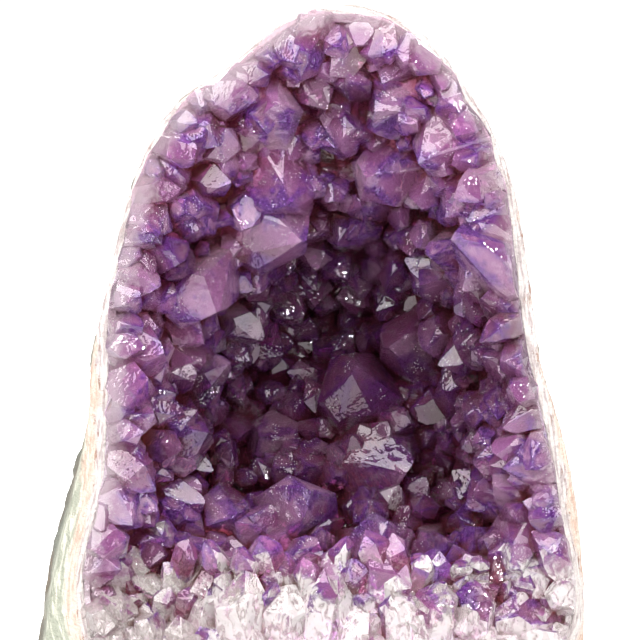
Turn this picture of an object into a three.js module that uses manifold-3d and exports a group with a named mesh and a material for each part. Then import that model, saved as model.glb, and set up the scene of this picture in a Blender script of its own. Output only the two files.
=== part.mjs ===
// An amethyst geode cut open at the front and sawn flat underneath, so that it stands like an arch.
// It is made of two solids: the stone rind, and the crust of quartz crystals that lines its hollow.
// Millimetres, +Z up. The origin lies on the flat base, X runs across the opening, and -Y is its front.
import * as THREE from "three";
import { mergeVertices } from "three/addons/utils/BufferGeometryUtils.js";
import Module from "manifold-3d";

const wasm = await Module();
wasm.setup();

// The rim is measured from one point of the hollow, by radii at equal steps of angle,
// from +X towards +Z. The outer radii reach below the base, where the saw took the rest away.
const CENTRE_Z = 75;
const RIM_OUTER = [
  48.5, 48.3, 51.7, 58.5, 66.4, 75.0, 75.0, 65.7, 61.1, 53.5, 48.1, 46.0,
  46.6, 49.2, 59.0, 79.6, 108, 108, 105, 105, 104, 81.1, 65.1, 54.8,
];
const RIM_INNER = [
  46.2, 45.6, 49.2, 56.4, 64.6, 73.4, 73.5, 64.3, 59.6, 52.0, 46.6, 44.3,
  42.8, 44.6, 51.2, 67.5, 77.0, 67.5, 65.0, 67.5, 76.0, 76.6, 60.6, 51.1,
];

// The rim's face leans back towards the top and curves back a little at the sides.
const RIM_FRONT_Y = -38;
const RIM_LEAN = 0.17;
const RIM_BOW = 0.0022;
const RIM_BEVEL = 0.55;

// The hollow is a shallow dish with a deep pocket in its lower half, and swells and pits in its
// wall: [x, z, reach, rise towards the front].
const DISH_DEPTH = 27;
const DISH_ROUNDNESS = 0.75;
const POCKET = { x: 10, z: 68, reachX: 24, reachZ: 25, depth: 30 };
const SWELLS = [
  [-17, 104, 17, 8],
  [11, 56, 11, 15],
  [4, 84, 10, -8],
  [31, 48, 9, -10],
  [-16, 66, 9, -8],
  [22, 124, 14, 3],
];

// The rind's back is a blunt dome whose furthest point lies low, so that the stone stands steadily.
const BACK_Y = 46;
const BACK_Z = 48;
const BACK_BLUNTNESS = 0.6;
const BULGE = { angle: 228, spread: 24, out: 9, elsewhere: -0.8 };
const LUMP_HEIGHT = 3.2;
const LEDGE_HEIGHT = 1.1;
const ROUGH_FROM = 0.4; // the share of the way back at which the stone is fully rough
const CALM_MIDDLE = 0.7; // how much calmer the stone is at the furthest point

// Facets of the solids, round the rim and along its profile.
const ROUND_STEPS = 44;
const HOLLOW_RINGS = 8;
const BACK_RINGS = 13;
const BACK_CROWDING = 1.8;

// The crust is a thin bed against the hollow's wall, with the crystals rooted in it.
const GAP = 0.35;
const BED_THICKNESS = 1.6;
const BED_ABOVE_RIM = 0.6;
const ROOT_DEPTH = 6;
const SLIVER = 0.08; // facets thinner than this are closed up

// A crystal is a six-sided column. The faces of its tip rise by this slope from its edges.
const TIP_SLOPE = 1.27;
const TIP_SHIFT = 0.7;
const SQUASH = 0.14;
const ASTRAY = 0.95;
const PROUD_OF_RIM = 3.5; // no tip stands further than this in front of the rim's face

// Small crystals stand round the rim's inner edge, between two angles in degrees.
const EDGE_CRYSTALS = {
  count: 46,
  from: -28,
  to: 208,
  share: 0.965,
  width: [6, 9.5],
  slimness: [0.75, 1.1],
  lean: 1.6,
  crowding: 0.26,
};

// Small crystals fill the room that is left on the wall, at places that never line up.
const FILL_CRYSTALS = {
  count: 62,
  tries: 2400,
  angleStep: 0.7548776662,
  shareStep: 0.569840291,
  share: 0.93,
  width: [7, 11],
  slimness: [0.75, 1.1],
  lean: 0.35,
  crowding: 0.46,
};

// The larger crystals, as seen from the front: [x, z, width across].
const LARGE_SLIMNESS = [0.8, 1.1]; // length to width
const LARGE_LEAN = 0.35;
const SEEN_AT = 0.6; // the share of a crystal's length whose place in the front view is given
const LARGE_CRYSTALS = [
  [4.8, 144, 13], [12.8, 143, 10], [20.6, 139, 12], [-3, 136, 9], [7.4, 134, 8],
  [16.8, 130, 12], [29.4, 122.6, 16], [-10.5, 128, 16.5], [-24.5, 122.5, 10.5], [-17, 116.5, 9],
  [4.4, 123.7, 12], [14.7, 116.6, 15.5], [-7.1, 112.4, 16], [-25.6, 106.9, 11.5], [-8.4, 101.6, 17],
  [12.6, 106, 12], [27.9, 108.4, 9.5], [33.8, 97.4, 17], [30.5, 114, 8], [38.5, 111, 8.5],
  [6.9, 100.2, 10], [-20.4, 88, 19], [-16, 97.2, 8], [-31, 97.7, 10], [-34.4, 105.4, 8.5],
  [5.9, 91.8, 10], [16.8, 91.8, 10], [25.8, 91.8, 10], [21.6, 99.8, 8.5], [41, 77.5, 10],
  [32.8, 78.1, 11], [21.6, 75.4, 15], [-5.3, 75, 8.5], [-25.6, 75.8, 12], [-35, 78.8, 11],
  [-38.5, 68.3, 12], [-27.3, 58.2, 14], [-39.5, 57.1, 10.5], [-38.5, 46, 13.5], [11.1, 66.6, 18],
  [-2.1, 62.4, 11], [-9.2, 55.7, 12], [-0.8, 50.8, 10], [-17.6, 43, 12], [-2.1, 42.5, 16],
  [6.9, 52.9, 7.5], [16.4, 51.5, 16], [26.5, 47.7, 7.5], [22.3, 62.8, 10], [30.7, 65.5, 9],
  [30.7, 56, 9], [40.5, 48.7, 12], [44, 58.8, 10], [48, 63.4, 8], [48, 52.3, 9],
  [42, 38.2, 13.5], [50.5, 43.5, 9], [15.3, 37.5, 13], [-27.3, 33, 13], [-41, 32.5, 10],
  [-26.7, 44.5, 10], [-41, 83.4, 8], [-37.5, 91, 8], [-15.5, 137, 8.5], [-23.5, 131, 8],
  [-29.8, 115.5, 9], [27.5, 133.5, 9], [39.5, 89.7, 9], [33, 88, 9], [5, 112, 9],
];

// The crystals of the lower lip stand on the floor in three crowded rows, and the lowest are
// broken stubs: [x, height of the tip, width].
const LIP_ROWS = [
  {
    behindRim: 9.5,
    lean: 0.05,
    columns: [
      [-40, 35, 10], [-31, 33, 9], [-22, 38.5, 13], [-7.8, 39.5, 9.5], [4, 40, 13],
      [15.7, 42, 12], [26, 40, 9], [34.5, 38.5, 10], [44.5, 38, 11],
    ],
  },
  {
    behindRim: 4.6,
    lean: -0.05,
    columns: [
      [-47.5, 27, 8], [-40.5, 30, 9.5], [-33, 27.5, 8.5], [-26, 25.5, 9], [-15.5, 36, 12],
      [-5.5, 33.5, 10.5], [2.4, 35.5, 9], [9.5, 29.5, 10], [18, 33.5, 9.5], [26, 34.5, 10],
      [34.4, 33, 9], [46.5, 32.5, 14], [54.5, 26.5, 8],
    ],
  },
  {
    behindRim: 1.8,
    lean: -0.2,
    columns: [
      [-50, 21, 9], [-43, 23.5, 8], [-36, 20, 9.5], [-28.5, 19, 8.5], [-21, 24.5, 9.5],
      [-10.5, 25.5, 12], [-1, 22.5, 9.5], [6.5, 19.5, 9], [14, 23, 10], [22, 21, 8.5], [30, 24, 11],
      [39.5, 20.5, 10.5], [52, 20, 9.5],
    ],
  },
];
const LIP_ROOT_Z = 9;
const LIP_ASTRAY = 0.34;
const LIP_NUMBERS = { first: 300, perRow: 30 };

// Shares of the way to the rim at which roots and slopes are still taken, and the step for a slope.
const LAST_ROOT = 0.985;
const LAST_SLOPE = 0.96;
const SLOPE_STEP = 0.012;

const LAST_RING = Math.PI / 2;

/** A repeatable scatter of numbers from 0 to 1 for piece n and use k. */
function scatter(n, k) {
  const value = Math.sin(n * 127.1 + k * 311.7) * 43758.5453;
  return value - Math.floor(value);
}

/** The radius at an angle, on a smooth closed curve through a table of equal steps. */
function radiusAt(table, angle) {
  const count = table.length;
  const place = (((angle / (2 * Math.PI)) % 1) + 1) % 1 * count;
  const step = Math.floor(place);
  const u = place - step;
  const [a, b, c, d] = [-1, 0, 1, 2].map((k) => table[(step + k + count) % count]);
  return b + 0.5 * u * (c - a + u * (2 * a - 5 * b + 4 * c - d + u * (3 * (b - c) + d - a)));
}

function rimY(x, z) {
  return RIM_FRONT_Y + RIM_LEAN * z + RIM_BOW * x * x;
}

/** How far behind the rim's face the hollow's wall lies, at a share of the way out to the rim. */
function hollowDepth(x, z, share) {
  const swell = SWELLS.reduce(
    (sum, [sx, sz, reach, rise]) =>
      sum + rise * Math.exp(-((x - sx) ** 2 + (z - sz) ** 2) / (2 * reach * reach)),
    0,
  );
  const inside = Math.max(0, 1 - share * share);
  const across = (x - POCKET.x) / POCKET.reachX;
  const up = (z - POCKET.z) / POCKET.reachZ;
  const pocket = POCKET.depth * Math.exp(-(across * across + up * up) / 2);
  return DISH_DEPTH * inside ** DISH_ROUNDNESS + (pocket - swell) * Math.sqrt(inside);
}

/** A point of the hollow's wall, taken in by some amount on its way to the rim and to the front. */
function hollowPoint(angle, share, takenIn) {
  const radius = share * (radiusAt(RIM_INNER, angle) - takenIn);
  const x = radius * Math.cos(angle);
  const z = CENTRE_Z + radius * Math.sin(angle);
  return new THREE.Vector3(x, rimY(x, z) + hollowDepth(x, z, share) - takenIn * (1 - share), z);
}

/** The wall behind a point of the front view, held a little inside the rim. */
function wallBehind(x, z) {
  const angle = Math.atan2(z - CENTRE_Z, x);
  const full = radiusAt(RIM_INNER, angle);
  const share = Math.min(Math.hypot(x, z - CENTRE_Z) / full, LAST_ROOT);
  return hollowPoint(angle, share, 0);
}

/** The direction out of the wall and into the hollow. */
function wallNormal(x, z) {
  const angle = Math.atan2(z - CENTRE_Z, x);
  const full = radiusAt(RIM_INNER, angle);
  const share = Math.min(Math.hypot(x, z - CENTRE_Z) / full, LAST_SLOPE);
  const turn = (2 * SLOPE_STEP) / Math.max(0.4, share);
  const along = hollowPoint(angle + turn, share, 0).sub(hollowPoint(angle - turn, share, 0));
  const inner = hollowPoint(angle, Math.max(0, share - SLOPE_STEP), 0);
  const outward = hollowPoint(angle, share + SLOPE_STEP, 0).sub(inner);
  const normal = along.cross(outward).normalize();
  return normal.y > 0 ? normal.negate() : normal;
}

function angles() {
  return Array.from({ length: ROUND_STEPS }, (_, k) => (2 * Math.PI * k) / ROUND_STEPS);
}

/** A closed skin over rings of points, from a first pole to a last one. */
function skin(firstPole, rings, lastPole) {
  const count = rings[0].length;
  const points = [firstPole, ...rings.flat(), lastPole];
  const at = (ring, k) => 1 + ring * count + (k % count);
  const faces = [];
  for (let k = 0; k < count; k++) {
    faces.push(0, at(0, k), at(0, k + 1));
    for (let ring = 0; ring + 1 < rings.length; ring++) {
      faces.push(at(ring, k), at(ring + 1, k), at(ring + 1, k + 1));
      faces.push(at(ring, k), at(ring + 1, k + 1), at(ring, k + 1));
    }
    faces.push(at(rings.length - 1, k), points.length - 1, at(rings.length - 1, k + 1));
  }
  const geometry = new THREE.BufferGeometry().setFromPoints(points);
  geometry.setIndex(faces);
  return geometry;
}

function solidOf(geometry) {
  const bare = geometry.clone();
  bare.deleteAttribute("normal");
  bare.deleteAttribute("uv");
  const merged = mergeVertices(bare, 1e-4);
  const make = (triVerts) =>
    new wasm.Manifold(
      new wasm.Mesh({ numProp: 3, vertProperties: merged.attributes.position.array, triVerts }),
    );
  const triangles = new Uint32Array(merged.index.array);
  const solid = make(triangles);
  return solid.volume() > 0 ? solid : make(triangles.reverse());
}

function geometryOf(solid) {
  const mesh = solid.getMesh();
  const geometry = new THREE.BufferGeometry();
  geometry.setAttribute("position", new THREE.BufferAttribute(mesh.vertProperties, 3));
  geometry.setIndex(new THREE.BufferAttribute(mesh.triVerts, 1));
  geometry.computeVertexNormals();
  return geometry;
}

function largestPiece(solid) {
  return solid.decompose().sort((a, b) => b.volume() - a.volume())[0];
}

/** The rings of the hollow's wall, from near its middle out to the rim's inner edge. */
function hollowRings(takenIn) {
  return Array.from({ length: HOLLOW_RINGS }, (_, i) => {
    const share = Math.sin((LAST_RING * (i + 1)) / HOLLOW_RINGS);
    return angles().map((angle) => hollowPoint(angle, share, takenIn));
  });
}

/** Lumps and ledges of the weathered back, at a point. */
function roughness({ x, y, z }) {
  const lumps =
    Math.sin(0.13 * x + 0.05 * z + 1.3) * Math.sin(0.12 * z - 0.08 * y + 0.4) +
    0.4 * Math.sin(0.23 * x - 0.11 * y + 2.1) * Math.sin(0.25 * z + 0.14 * y);
  const ledge = Math.sin(0.14 * z + 0.07 * x + 1.1 * Math.sin(0.06 * x + 0.09 * y));
  return LUMP_HEIGHT * lumps + LEDGE_HEIGHT * Math.tanh(3 * ledge);
}

/** A point of the rind's back: along 0 is the rim's outer edge, and 1 the furthest point behind. */
function backPoint(angle, along) {
  const bend = LAST_RING * along;
  const rim = radiusAt(RIM_OUTER, angle);
  const from = THREE.MathUtils.radToDeg(angle) - BULGE.angle;
  const bulge = BULGE.elsewhere + BULGE.out * Math.exp(-(from * from) / (2 * BULGE.spread ** 2));
  const full = rim + bulge * Math.sin(Math.min(3 * bend, LAST_RING));
  const radius = full * Math.cos(bend) ** BACK_BLUNTNESS;
  const x = radius * Math.cos(angle);
  const z = CENTRE_Z + (BACK_Z - CENTRE_Z) * (1 - Math.cos(bend)) + radius * Math.sin(angle);
  const rimX = rim * Math.cos(angle);
  const rimZ = CENTRE_Z + rim * Math.sin(angle);
  const band = rim - radiusAt(RIM_INNER, angle);
  const edgeY = rimY(rimX, Math.max(rimZ, 0)) + RIM_BEVEL * Math.min(band, 6);
  const point = new THREE.Vector3(x, edgeY + (BACK_Y - edgeY) * Math.sin(bend), z);
  const outward = new THREE.Vector3(x, point.y - 5, z - 60).normalize();
  const share = Math.min(1, along / ROUGH_FROM) * (1 - CALM_MIDDLE * along ** 6);
  return point.addScaledVector(outward, roughness(point) * share);
}

/** Everything below the sawn base. */
function belowBase() {
  const half = 150;
  return solidOf(new THREE.BoxGeometry(2 * half, 2 * half, half).translate(0, 0, -half / 2));
}

function makeRind() {
  const backRings = Array.from({ length: BACK_RINGS }, (_, i) =>
    angles().map((angle) => backPoint(angle, 1 - (1 - i / BACK_RINGS) ** BACK_CROWDING)),
  );
  const whole = skin(
    hollowPoint(0, 0, 0),
    [...hollowRings(0), ...backRings],
    backPoint(0, 1),
  );
  return largestPiece(solidOf(whole).subtract(belowBase()));
}

/** The space that the crust may fill: the hollow less a thin gap, and straight out in front of it. */
function crustSpace() {
  const farFront = -90;
  const rings = hollowRings(GAP);
  const edge = rings[rings.length - 1].map((p) => new THREE.Vector3(p.x, farFront, p.z));
  return solidOf(skin(hollowPoint(0, 0, GAP), [...rings, edge], new THREE.Vector3(0, farFront, CENTRE_Z)));
}

/** The layer that the crystals grow from. Its back is cut later, by the space it fills. */
function makeBed() {
  const farBack = 90;
  const rings = hollowRings(BED_THICKNESS).map((ring) =>
    ring.map((p) => new THREE.Vector3(p.x, p.y - BED_ABOVE_RIM, p.z)),
  );
  const edge = rings[rings.length - 1].map((p) => {
    const out = new THREE.Vector3(p.x, 0, p.z - CENTRE_Z).setLength(2 * BED_THICKNESS);
    return p.clone().add(out);
  });
  const back = edge.map((p) => new THREE.Vector3(p.x, farBack, p.z));
  const middle = hollowPoint(0, 0, BED_THICKNESS);
  return solidOf(skin(middle, [...rings, edge, back], new THREE.Vector3(0, farBack, CENTRE_Z)));
}

/**
 * One quartz crystal: a six-sided column whose tip stands off its middle, so that its six end faces
 * keep one slope and meet the column at unequal heights.
 */
function crystalGeometry({ root, direction, width, length, number }) {
  const corner = width / Math.sqrt(3);
  const tip = new THREE.Vector2(scatter(number, 1) - 0.5, scatter(number, 2) - 0.5);
  tip.multiplyScalar(TIP_SHIFT * corner);
  const stretch = 1 + SQUASH * (2 * scatter(number, 3) - 1);
  const foot = [];
  const shoulder = [];
  for (let k = 0; k < 6; k++) {
    const angle = (Math.PI / 3) * k;
    const x = corner * Math.cos(angle) * stretch;
    const y = (corner * Math.sin(angle)) / stretch;
    const drop = TIP_SLOPE * Math.cos(Math.PI / 6) * Math.hypot(x - tip.x, y - tip.y);
    foot.push(new THREE.Vector3(x, y, -ROOT_DEPTH));
    shoulder.push(new THREE.Vector3(x, y, Math.max(length - drop, -ROOT_DEPTH + 1)));
  }
  const geometry = skin(
    new THREE.Vector3(0, 0, -ROOT_DEPTH),
    [foot, shoulder],
    new THREE.Vector3(tip.x, tip.y, length),
  );
  const up = new THREE.Vector3(0, 0, 1);
  const turn = new THREE.Quaternion().setFromUnitVectors(up, direction);
  const spin = new THREE.Quaternion().setFromAxisAngle(up, scatter(number, 4) * Math.PI);
  geometry.applyQuaternion(turn.multiply(spin));
  return geometry.translate(root.x, root.y, root.z);
}

/** The way a crystal on the wall points: out of the wall, turned to the front and a little astray. */
function growthDirection(x, z, number, lean) {
  const astray = new THREE.Vector3(scatter(number, 5) - 0.5, 0, scatter(number, 6) - 0.5);
  return wallNormal(x, z)
    .add(new THREE.Vector3(0, -lean, 0))
    .addScaledVector(astray, ASTRAY)
    .normalize();
}

/** Moves a crystal back until its tip stands no further out than it may. */
function heldBack(crystal) {
  const tip = crystal.root.clone().addScaledVector(crystal.direction, crystal.length);
  crystal.root.y += Math.max(0, rimY(tip.x, tip.z) - PROUD_OF_RIM - tip.y);
  return crystal;
}

function between([low, high], share) {
  return low + (high - low) * share;
}

function largeCrystals() {
  return LARGE_CRYSTALS.map(([x, z, width], number) => {
    const direction = growthDirection(x, z, number, LARGE_LEAN);
    const length = width * between(LARGE_SLIMNESS, scatter(number, 7)) + BED_THICKNESS;
    const root = wallBehind(x - SEEN_AT * length * direction.x, z - SEEN_AT * length * direction.z);
    return { root, direction, width, length, number };
  });
}

/** Adds a small crystal at an angle and a share of the way to the rim, if there is room for it. */
function addSmallCrystal(placed, angle, share, kind, chance) {
  const root = hollowPoint(angle, share, 0);
  const width = between(kind.width, chance);
  const room = ({ root: taken, width: across }) => taken.distanceTo(root) > kind.crowding * (across + width);
  if (!placed.every(room)) return;
  const number = placed.length;
  const direction = growthDirection(root.x, root.z, number, kind.lean);
  const length = width * between(kind.slimness, scatter(number, 9)) + BED_THICKNESS;
  placed.push({ root, direction, width, length, number });
}

/** The large crystals, those round the rim and, in the room between them, the small ones. */
function wallCrystals() {
  const placed = largeCrystals();
  const { count, from, to, share: edgeShare } = EDGE_CRYSTALS;
  for (let i = 0; i < count; i++) {
    const angle = THREE.MathUtils.degToRad(between([from, to], i / (count - 1)));
    addSmallCrystal(placed, angle, edgeShare, EDGE_CRYSTALS, scatter(i, 11));
  }
  const { tries, angleStep, shareStep, share: fillShare } = FILL_CRYSTALS;
  const enough = placed.length + FILL_CRYSTALS.count;
  for (let n = 1; n <= tries && placed.length < enough; n++) {
    const angle = 2 * Math.PI * ((n * angleStep) % 1);
    const share = Math.sin(LAST_RING * fillShare * Math.sqrt((n * shareStep) % 1));
    addSmallCrystal(placed, angle, share, FILL_CRYSTALS, scatter(n, 8));
  }
  return placed;
}

function lipCrystals() {
  return LIP_ROWS.flatMap(({ behindRim, lean, columns }, row) =>
    columns.map(([x, tipZ, width], i) => {
      const number = LIP_NUMBERS.first + LIP_NUMBERS.perRow * row + i;
      const length = tipZ - LIP_ROOT_Z;
      const sideways = LIP_ASTRAY * (scatter(number, 5) - 0.5);
      const forwards = lean + LIP_ASTRAY * (scatter(number, 6) - 0.5);
      const y = rimY(x, (LIP_ROOT_Z + tipZ) / 2) + behindRim - (forwards * length) / 2;
      const root = new THREE.Vector3(x - sideways * length, y, LIP_ROOT_Z);
      const direction = new THREE.Vector3(sideways, forwards, 1).normalize();
      return { root, direction, width, length, number };
    }),
  );
}

function makeCrust() {
  const crystals = [...wallCrystals(), ...lipCrystals()].map(heldBack);
  const pieces = crystals.map((crystal) => solidOf(crystalGeometry(crystal)));
  const joined = wasm.Manifold.union([makeBed(), ...pieces]).intersect(crustSpace());
  return largestPiece(joined.asOriginal().simplify(SLIVER));
}

function named(name, solid, material) {
  const mesh = new THREE.Mesh(geometryOf(solid), material);
  mesh.name = name;
  return mesh;
}

const RIND_STONE = new THREE.MeshStandardMaterial({ color: 0xa9a598, roughness: 0.85, flatShading: true });
const AMETHYST = new THREE.MeshStandardMaterial({ color: 0x8a5fb0, roughness: 0.15, flatShading: true });

const geode = new THREE.Group();
geode.add(named("rind", makeRind(), RIND_STONE));
geode.add(named("crystal_crust", makeCrust(), AMETHYST));

export default geode;
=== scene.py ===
# %% [markdown]
# # An amethyst geode, cut open and sawn flat underneath
#
# A geode starts as a gas bubble in basalt. Silica creeps in and lines the bubble: first a thin band of
# agate, then milky quartz, and at last clear crystals that turn violet towards their tips. This lesson
# builds the stone in that order. The frame gives the size and the place of both pieces, the stone rind
# and the crystal crust, and every step below is worked out in millimetres and turned into metres where a
# mesh is made.

# %% The frame
import itertools
import math

import bmesh
import bpy
import numpy as np
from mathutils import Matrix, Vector
from mathutils.bvhtree import BVHTree


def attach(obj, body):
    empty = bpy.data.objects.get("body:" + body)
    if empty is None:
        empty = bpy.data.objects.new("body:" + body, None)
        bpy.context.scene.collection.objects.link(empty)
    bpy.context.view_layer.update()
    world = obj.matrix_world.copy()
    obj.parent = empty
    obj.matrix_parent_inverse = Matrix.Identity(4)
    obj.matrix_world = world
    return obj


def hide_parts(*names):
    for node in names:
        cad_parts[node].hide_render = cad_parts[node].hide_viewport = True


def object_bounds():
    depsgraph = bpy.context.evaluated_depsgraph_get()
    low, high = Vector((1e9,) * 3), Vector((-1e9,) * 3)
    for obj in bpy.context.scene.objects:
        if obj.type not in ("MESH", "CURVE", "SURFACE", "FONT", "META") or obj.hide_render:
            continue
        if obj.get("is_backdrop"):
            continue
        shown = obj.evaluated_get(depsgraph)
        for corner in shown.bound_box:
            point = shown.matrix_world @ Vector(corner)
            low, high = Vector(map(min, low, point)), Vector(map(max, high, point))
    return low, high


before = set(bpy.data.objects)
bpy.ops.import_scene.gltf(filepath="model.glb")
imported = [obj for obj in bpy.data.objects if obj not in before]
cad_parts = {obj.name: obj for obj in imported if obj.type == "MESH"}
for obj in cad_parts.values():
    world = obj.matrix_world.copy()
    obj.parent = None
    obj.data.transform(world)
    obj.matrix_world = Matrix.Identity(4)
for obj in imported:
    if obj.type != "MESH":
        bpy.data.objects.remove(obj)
cad_low, cad_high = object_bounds()
MM = 0.001
print("frame:", sorted(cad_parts), "size in mm:", [round(v / MM, 1) for v in cad_high - cad_low])

# %% [markdown]
# ## The camera
#
# The photograph is taken from straight in front and a little above, through a long lens, so that the arch
# is not distorted. A field that is given as a width at the middle of the stone is easier to measure than
# an angle, and the distance follows from it.

# %% Camera
LENS = 180
SENSOR = 36
FIELD_WIDTH = 134.4 * MM
CAMERA_AIM = Vector((1.7, -20, 85.5)) * MM
CAMERA_ELEVATION = math.radians(8)


def add_camera():
    camera = bpy.data.cameras.new("camera")
    camera.lens = LENS
    camera.sensor_width = SENSOR
    camera_object = bpy.data.objects.new("camera", camera)
    back = Vector((0, -math.cos(CAMERA_ELEVATION), math.sin(CAMERA_ELEVATION)))
    camera_object.location = CAMERA_AIM + back * (FIELD_WIDTH * LENS / SENSOR)
    camera_object.rotation_euler = (-back).to_track_quat("-Z", "Y").to_euler()
    bpy.context.scene.collection.objects.link(camera_object)
    bpy.context.scene.camera = camera_object
    return camera_object


print("camera:", [round(v, 3) for v in add_camera().location])

# %% [markdown]
# ## The outline and the hollow
#
# The arch has no simple formula, so its rim is a smooth curve through radii at equal steps of angle, as
# in the solids. The hollow behind it is a shallow dish with a deeper pocket and a few swells. Both are
# functions here, because the rind, the bed of the crystals and the crystals' roots all have to follow the
# same wall.

# %% Rim and hollow
CENTRE_Z = 75
RIM_OUTER = [
    48.5, 48.3, 51.7, 58.5, 66.4, 75.0, 75.0, 65.7, 61.1, 53.5, 48.1, 46.0,
    46.6, 49.2, 59.0, 79.6, 108, 108, 105, 105, 104, 81.1, 65.1, 54.8,
]
RIM_INNER = [
    46.2, 45.6, 49.2, 56.4, 64.6, 73.4, 73.5, 64.3, 59.6, 52.0, 46.6, 44.3,
    42.8, 44.6, 51.2, 67.5, 77.0, 67.5, 65.0, 67.5, 76.0, 76.6, 60.6, 51.1,
]
RIM_FRONT_Y = -38
RIM_LEAN = 0.17
RIM_BOW = 0.0022
RIM_BEVEL = 0.55
WIDEST_BEVEL = 6
DISH_DEPTH = 27
DISH_ROUNDNESS = 0.75
POCKET = {"x": 10, "z": 68, "reach_x": 24, "reach_z": 25, "depth": 30}
SWELLS = [
    (-17, 104, 17, 8), (11, 56, 11, 15), (4, 84, 10, -8), (31, 48, 9, -10), (-16, 66, 9, -8),
    (22, 124, 14, 3),
]


def radius_at(table, angle):
    """The radius at an angle, on a smooth closed curve through a table of equal steps."""
    place = (np.asarray(angle, float) / (2 * np.pi)) % 1 * len(table)
    step = np.floor(place).astype(int)
    u = place - step
    a, b, c, d = (np.take(table, (step + k) % len(table)) for k in (-1, 0, 1, 2))
    return b + 0.5 * u * (c - a + u * (2 * a - 5 * b + 4 * c - d + u * (3 * (b - c) + d - a)))


def rim_y(x, z):
    return RIM_FRONT_Y + RIM_LEAN * z + RIM_BOW * x * x


def hollow_depth(x, z, share):
    """How far behind the rim's face the wall lies, at a share of the way out to the rim."""
    swell = sum(
        rise * np.exp(-((x - sx) ** 2 + (z - sz) ** 2) / (2 * reach**2)) for sx, sz, reach, rise in SWELLS
    )
    inside = np.maximum(0, 1 - share * share)
    across = (x - POCKET["x"]) / POCKET["reach_x"]
    up = (z - POCKET["z"]) / POCKET["reach_z"]
    pocket = POCKET["depth"] * np.exp(-(across**2 + up**2) / 2)
    return DISH_DEPTH * inside**DISH_ROUNDNESS + (pocket - swell) * np.sqrt(inside)


def hollow_point(angle, share, taken_in=0.0):
    """A point of the wall, taken in by some amount on its way to the rim and to the front."""
    radius = share * (radius_at(RIM_INNER, angle) - taken_in)
    x = radius * np.cos(angle)
    z = CENTRE_Z + radius * np.sin(angle)
    y = rim_y(x, z) + hollow_depth(x, z, share) - taken_in * (1 - share)
    return np.stack(np.broadcast_arrays(x, y, z), axis=-1)


print("deepest point of the hollow, y in mm:", round(float(hollow_point(0.9, 0.2)[1]), 1))

# %% [markdown]
# ## From rings to a closed skin
#
# The rind, the bed and the space that the crust may fill are all closed skins over rings of points. One
# helper joins such rings into a mesh, with a pole at each end, and numbers can be written on its points
# on the way.

# %% Skin
def ring_angles(count):
    return np.arange(count) * 2 * np.pi / count


def skin_faces(ring_count, count):
    """The faces of a skin: a fan on the first pole, quads between rings, and a fan on the last pole."""
    last = 1 + ring_count * count
    faces = []
    for k in range(count):
        k_next = (k + 1) % count
        faces.append((0, 1 + k, 1 + k_next))
        for ring in range(ring_count - 1):
            low, high = 1 + ring * count, 1 + (ring + 1) * count
            faces.append((low + k, high + k, high + k_next, low + k_next))
        end = 1 + (ring_count - 1) * count
        faces.append((end + k, last, end + k_next))
    return faces


def plain_mesh(name, points, faces, unit_size=MM):
    mesh = bpy.data.meshes.new(name)
    mesh.from_pydata([tuple(p) for p in np.asarray(points) * unit_size], [], faces)
    return mesh


def closed_mesh(name, points, faces):
    """A mesh with its faces pointing out."""
    mesh = plain_mesh(name, points, faces)
    builder = bmesh.new()
    builder.from_mesh(mesh)
    bmesh.ops.recalc_face_normals(builder, faces=builder.faces)
    if builder.calc_volume(signed=True) < 0:
        bmesh.ops.reverse_faces(builder, faces=builder.faces)
    builder.to_mesh(mesh)
    builder.free()
    return mesh


def skin_mesh(name, first_pole, rings, last_pole):
    points = np.vstack([np.reshape(first_pole, (1, 3)), *rings, np.reshape(last_pole, (1, 3))])
    return closed_mesh(name, points, skin_faces(len(rings), len(rings[0])))


def write_attribute(mesh, name, kind, domain, values):
    values = np.asarray(values, np.int32 if kind == "INT" else np.float32)
    mesh.attributes.new(name, kind, domain).data.foreach_set("value", values)


def shown(mesh):
    """An object for a mesh, in the scene."""
    made = bpy.data.objects.new(mesh.name, mesh)
    bpy.context.scene.collection.objects.link(made)
    return made


# %% [markdown]
# ## The rind before it is weathered
#
# The rind goes from the deepest point of the hollow out over the wall to the rim, across the sawn rim,
# and round the back to its furthest point. It is sawn flat at the base. Two numbers are written on every
# point: how many millimetres of stone lie between it and the crystals, which gives the bands at the rim
# their places, and how far it is on the weathered outside.

# %% Rind, smooth
ROUND_STEPS = 300
HOLLOW_RINGS = 20
RIM_RINGS = 8
BACK_RINGS = 96
BACK_CROWDING = 1.8
BACK_Y = 46
BACK_Z = 48
BACK_BLUNTNESS = 0.6
BULGE = {"angle": 228, "spread": 24, "out": 9, "elsewhere": -0.8}
LUMP_HEIGHT = 3.2
LEDGE_HEIGHT = 1.1
ROUGH_FROM = 0.4
CALM_MIDDLE = 0.7
WALL_LAYER = 40
BACK_LAYER = 60
SKIN_RISE = 12
QUARTER_TURN = math.pi / 2


def roughness_at(x, y, z):
    """The large lumps and ledges of the back, the same as on the solid."""
    lumps = np.sin(0.13 * x + 0.05 * z + 1.3) * np.sin(0.12 * z - 0.08 * y + 0.4)
    lumps = lumps + 0.4 * np.sin(0.23 * x - 0.11 * y + 2.1) * np.sin(0.25 * z + 0.14 * y)
    ledge = np.sin(0.14 * z + 0.07 * x + 1.1 * np.sin(0.06 * x + 0.09 * y))
    return LUMP_HEIGHT * lumps + LEDGE_HEIGHT * np.tanh(3 * ledge)


def rim_edge(angle):
    """The outer edge of the rim, and the width of the rim's face there."""
    rim = radius_at(RIM_OUTER, angle)
    band = rim - radius_at(RIM_INNER, angle)
    x = rim * np.cos(angle)
    z = CENTRE_Z + rim * np.sin(angle)
    y = rim_y(x, np.maximum(z, 0)) + RIM_BEVEL * np.minimum(band, WIDEST_BEVEL)
    return np.stack([x, y, z], axis=-1), band


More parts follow.
